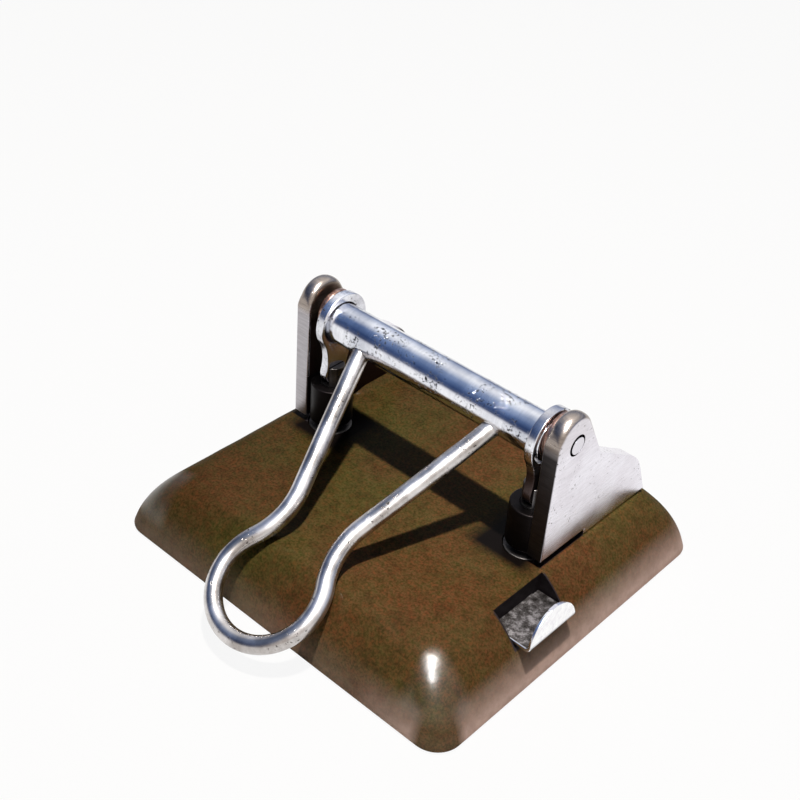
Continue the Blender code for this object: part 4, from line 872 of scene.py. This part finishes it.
def handle_half():
    """Right half of the wire's middle line as (x, distance from the barrel)."""
    loop_centre = LOOP_LENGTH - LOOP_RADIUS
    waist_x = LOOP_WAIST + WAIST_RADIUS
    centres = WAIST_RADIUS + LOOP_RADIUS
    waist_distance = loop_centre - math.sqrt(centres ** 2 - waist_x ** 2)
    meet = math.asin((loop_centre - waist_distance) / centres)
    waist = arc((waist_x, waist_distance), WAIST_RADIUS, math.pi + LEG_SPREAD, math.pi - meet, 2.5)
    loop = arc((0, loop_centre), LOOP_RADIUS, -meet, math.pi / 2, 3)[1:]
    start_x = waist[0, 0] + (waist[0, 1] - LEG_FOOT) * math.tan(LEG_SPREAD)
    leg = np.linspace((start_x, LEG_FOOT), waist[0], 40)[:-1]
    return np.vstack([leg, waist, loop])


TILT = handle_tilt()
HANDLE_NORMAL = np.array((0, math.sin(TILT), -math.cos(TILT)))


def on_handle(points):
    """(x, distance) on the handle's plane to xyz."""
    x, distance = points.T
    return np.stack([x, BARREL[1] - distance * math.cos(TILT), BARREL[2] - distance * math.sin(TILT)], -1)


half = handle_half()
path = on_handle(np.vstack([half, half[-2::-1] * (-1, 1)]))
wire = skin("bent_wire_handle", swept(path, HANDLE_NORMAL, WIRE_RADIUS, 36))
dress(wire, "wire_handle", wire_steel)
print("handle tilt", round(math.degrees(TILT), 2), "degrees")

# %% [markdown]
# The barrel is turned from bar with a thinner journal at each end. The journals stand 1.9 mm off its
# middle, which is what lifts the punches, so they are turned about the pivot's own line and joined on. Then
# the legs' holes are cut along the legs.

# %% Barrel with its journals
JOURNAL_RADIUS, JOURNAL_LENGTH = 2.35, 10.5


def make_barrel():
    """Barrel and journals in one, with a slanting hole for each leg."""
    body = rounded_profile(BARREL_RADIUS, -BARREL_HALF, BARREL_HALF, 0.5)
    barrel = skin("turned_barrel", turned(BARREL, "X", body))
    journals = []
    for side in SIDES:
        low, high = sorted((side * (EAR_OUTER - JOURNAL_LENGTH), side * (EAR_OUTER - 0.03)))
        profile = rounded_profile(JOURNAL_RADIUS, low, high, 0.06)
        journals.append(skin("tool", turned((0, *PIVOT), "X", profile, 64)))
    carve(barrel, journals, "UNION")
    holes = []
    for side in SIDES:
        foot, further = on_handle(half[[0, 12]] * (side, 1))
        along = (further - foot) / np.linalg.norm(further - foot)
        line = foot + along * np.linspace(-0.2, 14, 8)[:, None]
        holes.append(skin("tool", swept(line, HANDLE_NORMAL, LEG_HOLE_RADIUS, 48)))
    carve(barrel, holes)
    return dress(barrel, "shaft_barrel", turned_steel)


make_barrel()

# %% [markdown]
# Each strap is pressed from plate: a large eye round the barrel and a small one in the punch's slotted
# head, with hollow flanks between. Four circles make the outline. A flank's centre is found from its
# distances to both eyes.

# %% Straps
RING = (4.8, 50.6)
RING_RADIUS = 8.3
SMALL_EYE = (2.4, 36.2)
SMALL_RADIUS = 3.8
FLANK = 12.0
EYE_RADIUS = 5.85
EYE_RELIEF = 0.5565
STRAP_HALF = 1.3
PIN_RADIUS = 1.2


def circle_meeting(first, first_distance, second, second_distance, side):
    """The point at two given distances from two centres, on one side of the line between them."""
    first, second = np.asarray(first), np.asarray(second)
    gap = np.linalg.norm(second - first)
    along = (first_distance ** 2 - second_distance ** 2 + gap ** 2) / (2 * gap)
    across = math.sqrt(first_distance ** 2 - along ** 2)
    forward = (second - first) / gap
    return first + forward * along + np.array((-forward[1], forward[0])) * across * side


def strap_outline():
    """Large eye, front flank, small eye and rear flank, each arc ending where the next begins."""

    def facing(centre, point):
        return math.atan2(point[1] - centre[1], point[0] - centre[0])

    turn = 2 * math.pi
    rear, front = (circle_meeting(RING, RING_RADIUS + FLANK, SMALL_EYE, SMALL_RADIUS + FLANK, side)
                   for side in (1, -1))
    large = arc(RING, RING_RADIUS, facing(RING, rear), facing(RING, front) % turn)
    down = arc(front, FLANK, facing(front, RING), facing(front, SMALL_EYE))[1:]
    small = arc(SMALL_EYE, SMALL_RADIUS, facing(SMALL_EYE, front) % turn, turn + facing(SMALL_EYE, rear))[1:]
    up = arc(rear, FLANK, facing(rear, SMALL_EYE) % turn, facing(rear, RING) % turn)[1:-1]
    return np.vstack([large, down, small, up])


def eye_cutter(x):
    """The barrel's hole, let out forward, with its edges broken at both faces."""
    front = arc((BARREL[1] - EYE_RELIEF, BARREL[2]), EYE_RADIUS, math.pi / 2, 1.5 * math.pi, 4)
    rear = arc(BARREL[1:], EYE_RADIUS, -math.pi / 2, math.pi / 2, 4)
    ring = np.vstack([front, rear])
    normal = outward_normals(ring)
    levels = [(-2.3, 1.0), (-1.1, 0), (1.1, 0), (2.3, 1.0)]
    return np.array([np.hstack([np.full((len(ring), 1), x + level), ring + normal * flare])
                     for level, flare in levels])


def make_strap(side, hand):
    """The plate with its two eyes cut through."""
    x = PUNCH_X[side]
    rings = rounded_slab(strap_outline(), EDGE, EDGE, x - STRAP_HALF, x + STRAP_HALF)
    strap = skin("pressed_strap_" + hand, rings)
    pin = turned((x, *SMALL_EYE), "X", [(PIN_RADIUS, -3), (PIN_RADIUS, 3)], 40)
    carve(strap, [skin("tool", eye_cutter(x)), skin("tool", pin)])
    return dress(strap, "strap_" + hand, strap_steel)


for side, hand in SIDES.items():
    make_strap(side, hand)

# %% [markdown]
# The punches are round bar: a slotted head takes the strap, and a shallow notch across the tip lets it
# shear the paper from two sides. The dies are hard bushes under them, and the washers are turned rings on
# the journals.

# %% Punches, dies and washers
PUNCH_RADIUS = 3.175
PUNCH_TIP, PUNCH_TOP, TIP_NOTCH = 17.2, 38.0, 18.0
HEAD_SLOT_HALF, HEAD_SLOT_FLOOR = 1.5, 32.2
NOTCH_HALF, NOTCH_FOOT = 6.35, 15.6
DIE_LOW, DIE_TOP = 12.2, 18.2
WASHER_RADIUS, WASHER_BORE, WASHER_GAP, WASHER_THICKNESS = 6.2, 2.55, 0.2, 1.6


def make_punch(side, hand):
    """Bar with a sharp tip and a rounded head: the upper half of a rounded profile on a sharp corner."""
    x, y = PUNCH_X[side], PUNCH_Y
    rounded = rounded_profile(PUNCH_RADIUS, PUNCH_TIP, PUNCH_TOP, 0.25)
    profile = np.vstack([[(PUNCH_RADIUS, PUNCH_TIP)], rounded[len(rounded) // 2:]])
    punch = skin("slotted_punch_" + hand, turned((x, y, 0), "Z", profile, 80))
    slot = skin("tool", block((x - HEAD_SLOT_HALF, y - 9, HEAD_SLOT_FLOOR), (x + HEAD_SLOT_HALF, y + 9, 60)))
    notch = [[(x + level, y - NOTCH_HALF, NOTCH_FOOT), (x + level, y, TIP_NOTCH),
              (x + level, y + NOTCH_HALF, NOTCH_FOOT)] for level in (-6, 6)]
    pin = skin("tool", turned((x, *SMALL_EYE), "X", [(PIN_RADIUS, -7), (PIN_RADIUS, 7)], 40))
    carve(punch, [slot, skin("tool", notch), pin])
    return dress(punch, "punch_" + hand, tool_steel)


def make_die(side, hand):
    """A hard bush, flush with the plateau."""
    profile = bored_profile(DIE_RADIUS, GUIDE_BORE, DIE_LOW, DIE_TOP, 0.2)
    rings = turned((PUNCH_X[side], PUNCH_Y, 0), "Z", profile, 96)
    return dress(skin("hardened_die_" + hand, rings, bored=True), "die_" + hand, black_steel)


def make_washer(side, hand):
    """A ring between the barrel's shoulder and the ear."""
    near = BARREL_HALF + WASHER_GAP
    low, high = sorted((BARREL[0] + side * near, BARREL[0] + side * (near + WASHER_THICKNESS)))
    rings = turned((0, *PIVOT), "X", bored_profile(WASHER_RADIUS, WASHER_BORE, low, high, 0.3), 96)
    return dress(skin("bronze_washer_" + hand, rings, bored=True), "washer_" + hand, bronze)


for side, hand in SIDES.items():
    make_punch(side, hand)
    make_die(side, hand)
    make_washer(side, hand)

# %% [markdown]
# The gauge is one bent strip: a stop lug at its inner end, a narrow tail, a wider part in the pocket and a
# half-moon flange for the finger. A rounded section is carried along the strip's middle line, and its width
# follows the outline. In the flange, length and width go as the sine and the cosine of one angle, which
# gives a half moon.

# %% Gauge strip
GAUGE_MIDDLE = 11.95
GAUGE_HALF, TAIL_HALF = 9.1, 7.0
GAUGE_THICKNESS = 0.9
BEND_X, BEND_RADIUS = 54.65, 1.0
FLANGE, FLANGE_LEAN, BLUNTNESS = 7.0, math.radians(5), 0.15


def gauge_line():
    """Arrays of x, z, direction and half width along the strip."""
    lug = -21.5 + GAUGE_THICKNESS / 2
    turn = np.linspace(0, math.pi / 2, 9)
    rows = [(lug, GAUGE_MIDDLE - BEND_RADIUS - 1.4, math.pi / 2, TAIL_HALF)]
    rows += list(zip(lug + BEND_RADIUS * (1 - np.cos(turn)), GAUGE_MIDDLE - BEND_RADIUS * (1 - np.sin(turn)),
                     math.pi / 2 - turn, np.full(9, TAIL_HALF)))
    rows += [(44.66, GAUGE_MIDDLE, 0, TAIL_HALF), (44.66, GAUGE_MIDDLE, 0, GAUGE_HALF)]
    rise = math.pi / 2 + FLANGE_LEAN
    bend = BEND_RADIUS * rise
    angle = np.linspace(0, math.pi / 2, 40)
    along = np.sin(angle) * (bend + FLANGE)
    turn = np.minimum(along / BEND_RADIUS, rise)
    past = np.maximum(along - bend, 0)
    x = BEND_X + BEND_RADIUS * np.sin(turn) + past * math.cos(rise)
    z = GAUGE_MIDDLE + BEND_RADIUS * (1 - np.cos(turn)) + past * math.sin(rise)
    rows += list(zip(x, z, turn, GAUGE_HALF * np.maximum(np.cos(angle), BLUNTNESS)))
    return np.array(rows).T


def gauge_rings():
    """Section point (across, off) at each place: x - sin(d) off, y + across, z + cos(d) off."""
    x, z, direction, wide = gauge_line()
    table = rounded_table(4, 3)
    edge = 0.25
    across = table[:, 0] * (wide[:, None] - edge) + edge * table[:, 2]
    off = table[:, 1] * (GAUGE_THICKNESS / 2 - edge) + edge * table[:, 3]
    x = x[:, None] - np.sin(direction)[:, None] * off
    z = z[:, None] + np.cos(direction)[:, None] * off
    return np.stack([x, GAUGE_Y + across, z], -1)


dress(skin("bent_gauge_strip", gauge_rings()), "gauge_slide", rolled_strip)

# %% [markdown]
# The small parts that the solids already have in full, such as screws, pins, the keeper, the leaf spring
# and the bottom plate, keep their shape and only get their real finish.

# %% Finishes for the nodes that stay
for name, body in sorted(BODY_OF.items()):
    node = frame["nodes"][name]
    if node.hide_render:
        continue
    finish = tool_steel if name.startswith("strap_pin") else black_steel
    for slot in node.material_slots:
        slot.material = finish
    print(name, "gets", finish.name)

# %% [markdown]
# Metal looks like what it reflects. The studio is a world whose colour depends on direction: deep blue high
# up in front, near white on the right and high up behind, and white at the horizon, so that the barrel
# shows bands of white, blue and shadow. Matt surfaces get little of it, and one small lamp overhead throws
# hard shadows, as the sun does. A long soft box that only gloss can see draws the highlight on the front
# corner. The camera sees a white floor. Most of its white is its own light, for the camera and for
# reflections, and the rest is lit, so the machine's shadow still falls on it faintly.

# %% Floor, world and lamp


def seen_rays(tree, kinds):
    """1 for rays of the named kinds, such as the camera's own, and 0 for the rest.

    Rays that have met a matt surface count as the rest, so that bright metal doesn't light the shadows."""
    path_node = add_node(tree, "ShaderNodeLightPath")
    total = path_node.outputs[kinds[0]]
    for kind in kinds[1:]:
        total = add_node(tree, "ShaderNodeMath", {"operation": "MAXIMUM"},
                         {0: total, 1: path_node.outputs[kind]}).outputs[0]
    direct = add_node(tree, "ShaderNodeMath", {"operation": "LESS_THAN"},
                      {0: path_node.outputs["Diffuse Depth"], 1: 0.5}).outputs[0]
    return add_node(tree, "ShaderNodeMath", {"operation": "MULTIPLY"}, {0: total, 1: direct}).outputs[0]


def make_floor():
    """White paper: a matt surface mixed with its own light for the rays that see it directly."""
    mesh = bpy.data.meshes.new("floor")
    reach = 6.0
    mesh.from_pydata([(-reach, -reach, 0), (reach, -reach, 0), (reach, reach, 0), (-reach, reach, 0)], [],
                     [(0, 1, 2, 3)])
    floor = bpy.data.objects.new("floor", mesh)
    bpy.context.scene.collection.objects.link(floor)
    material, tree, shader = start_material("white_paper_floor")[:3]
    shader.inputs["Base Color"].default_value = linear("#f6f6f6")
    shader.inputs["Roughness"].default_value = 0.9
    shader.inputs["Specular IOR Level"].default_value = 0.1
    glow = add_node(tree, "ShaderNodeEmission", inputs={"Color": linear("#fdfdfd"), "Strength": 1.0})
    rays = seen_rays(tree, ["Is Camera Ray", "Is Glossy Ray", "Is Transmission Ray"])
    mixed = add_node(tree, "ShaderNodeMixShader", inputs={0: remap(tree, rays, 0, 1, 0, 0.93),
                                                          1: shader.outputs["BSDF"], 2: glow.outputs[0]})
    tree.links.new(mixed.outputs[0], tree.nodes["Material Output"].inputs["Surface"])
    mesh.materials.append(material)
    return floor


def make_world():
    """Three skies by height: front and right are mixed over X, then both with the back over Y."""
    world = bpy.data.worlds.new("studio")
    world.use_nodes = True
    tree = world.node_tree
    direction = add_node(tree, "ShaderNodeTexCoord").outputs["Generated"]
    parts = add_node(tree, "ShaderNodeSeparateXYZ", inputs={"Vector": direction})
    up, back = parts.outputs["Z"], parts.outputs["Y"]
    front_sky = add_ramp(tree, up, [(0.0, "#f4f2f2"), (0.1, "#c9c9cf"), (0.22, "#4c5670"), (0.45, "#33466e"),
                                    (0.7, "#5a7098"), (0.85, "#8294b4"), (1.0, "#a9b6cc")])
    back_sky = add_ramp(tree, up, [(0.0, "#4f5670"), (0.13, "#7f8aa3"), (0.3, "#a8b2c8"), (0.45, "#c8cedd"),
                                   (0.62, "#e6e9f0"), (0.8, "#ffffff"), (1.0, "#e8ecf4")])
    right_sky = add_ramp(tree, up, [(0.0, "#f2f0ee"), (0.25, "#c9c2be"), (0.5, "#ece8e6"), (0.75, "#f6f4f4"),
                                    (1.0, "#c4cad6")])
    front_sky = blend(tree, "MIX", remap(tree, parts.outputs["X"], -0.1, 0.35, 0, 1), front_sky, right_sky)
    sky = blend(tree, "MIX", remap(tree, back, -0.2, 0.3, 0, 1), front_sky, back_sky)
    seen = seen_rays(tree, ["Is Camera Ray", "Is Transmission Ray"])
    glossy = seen_rays(tree, ["Is Glossy Ray"])
    low_glossy = add_node(tree, "ShaderNodeMath", {"operation": "MULTIPLY"},
                          {0: glossy, 1: remap(tree, up, 0.01, 0.05, 1, 0)})
    white = add_node(tree, "ShaderNodeMath", {"operation": "MAXIMUM"}, {0: seen, 1: low_glossy.outputs[0]})
    colour = blend(tree, "MIX", white.outputs[0], sky, "#ffffff")
    tree.links.new(colour, tree.nodes["Background"].inputs["Color"])
    reflected = remap(tree, glossy, 0, 1, 0.04, 1.12)
    strength = remap(tree, white.outputs[0], 0, 1, reflected, 1.0)
    tree.links.new(strength, tree.nodes["Background"].inputs["Strength"])
    bpy.context.scene.world = world


def add_area(name, place, target, size, power, colour):
    """A rectangular lamp of two side lengths in metres that faces its target."""
    data = bpy.data.lights.new(name, "AREA")
    data.shape = "RECTANGLE"
    data.size, data.size_y = size
    data.energy = power
    data.color = linear(colour)[:3]
    lamp = bpy.data.objects.new(name, data)
    lamp.location = place
    lamp.rotation_euler = (Vector(target) - Vector(place)).to_track_quat("-Z", "Y").to_euler()
    bpy.context.scene.collection.objects.link(lamp)
    return lamp


make_floor()
make_world()
add_area("key_lamp", (0.09, -0.052, 0.9), (0, 0, 0), (0.03, 0.03), 8.4, "#fff8f0")
strip = add_area("strip_softbox", (0.225, -0.25, 0.81), (0, 0, 0), (0.08, 0.41), 12.0, "#ffffff")
strip.visible_diffuse = False
print("stage set")
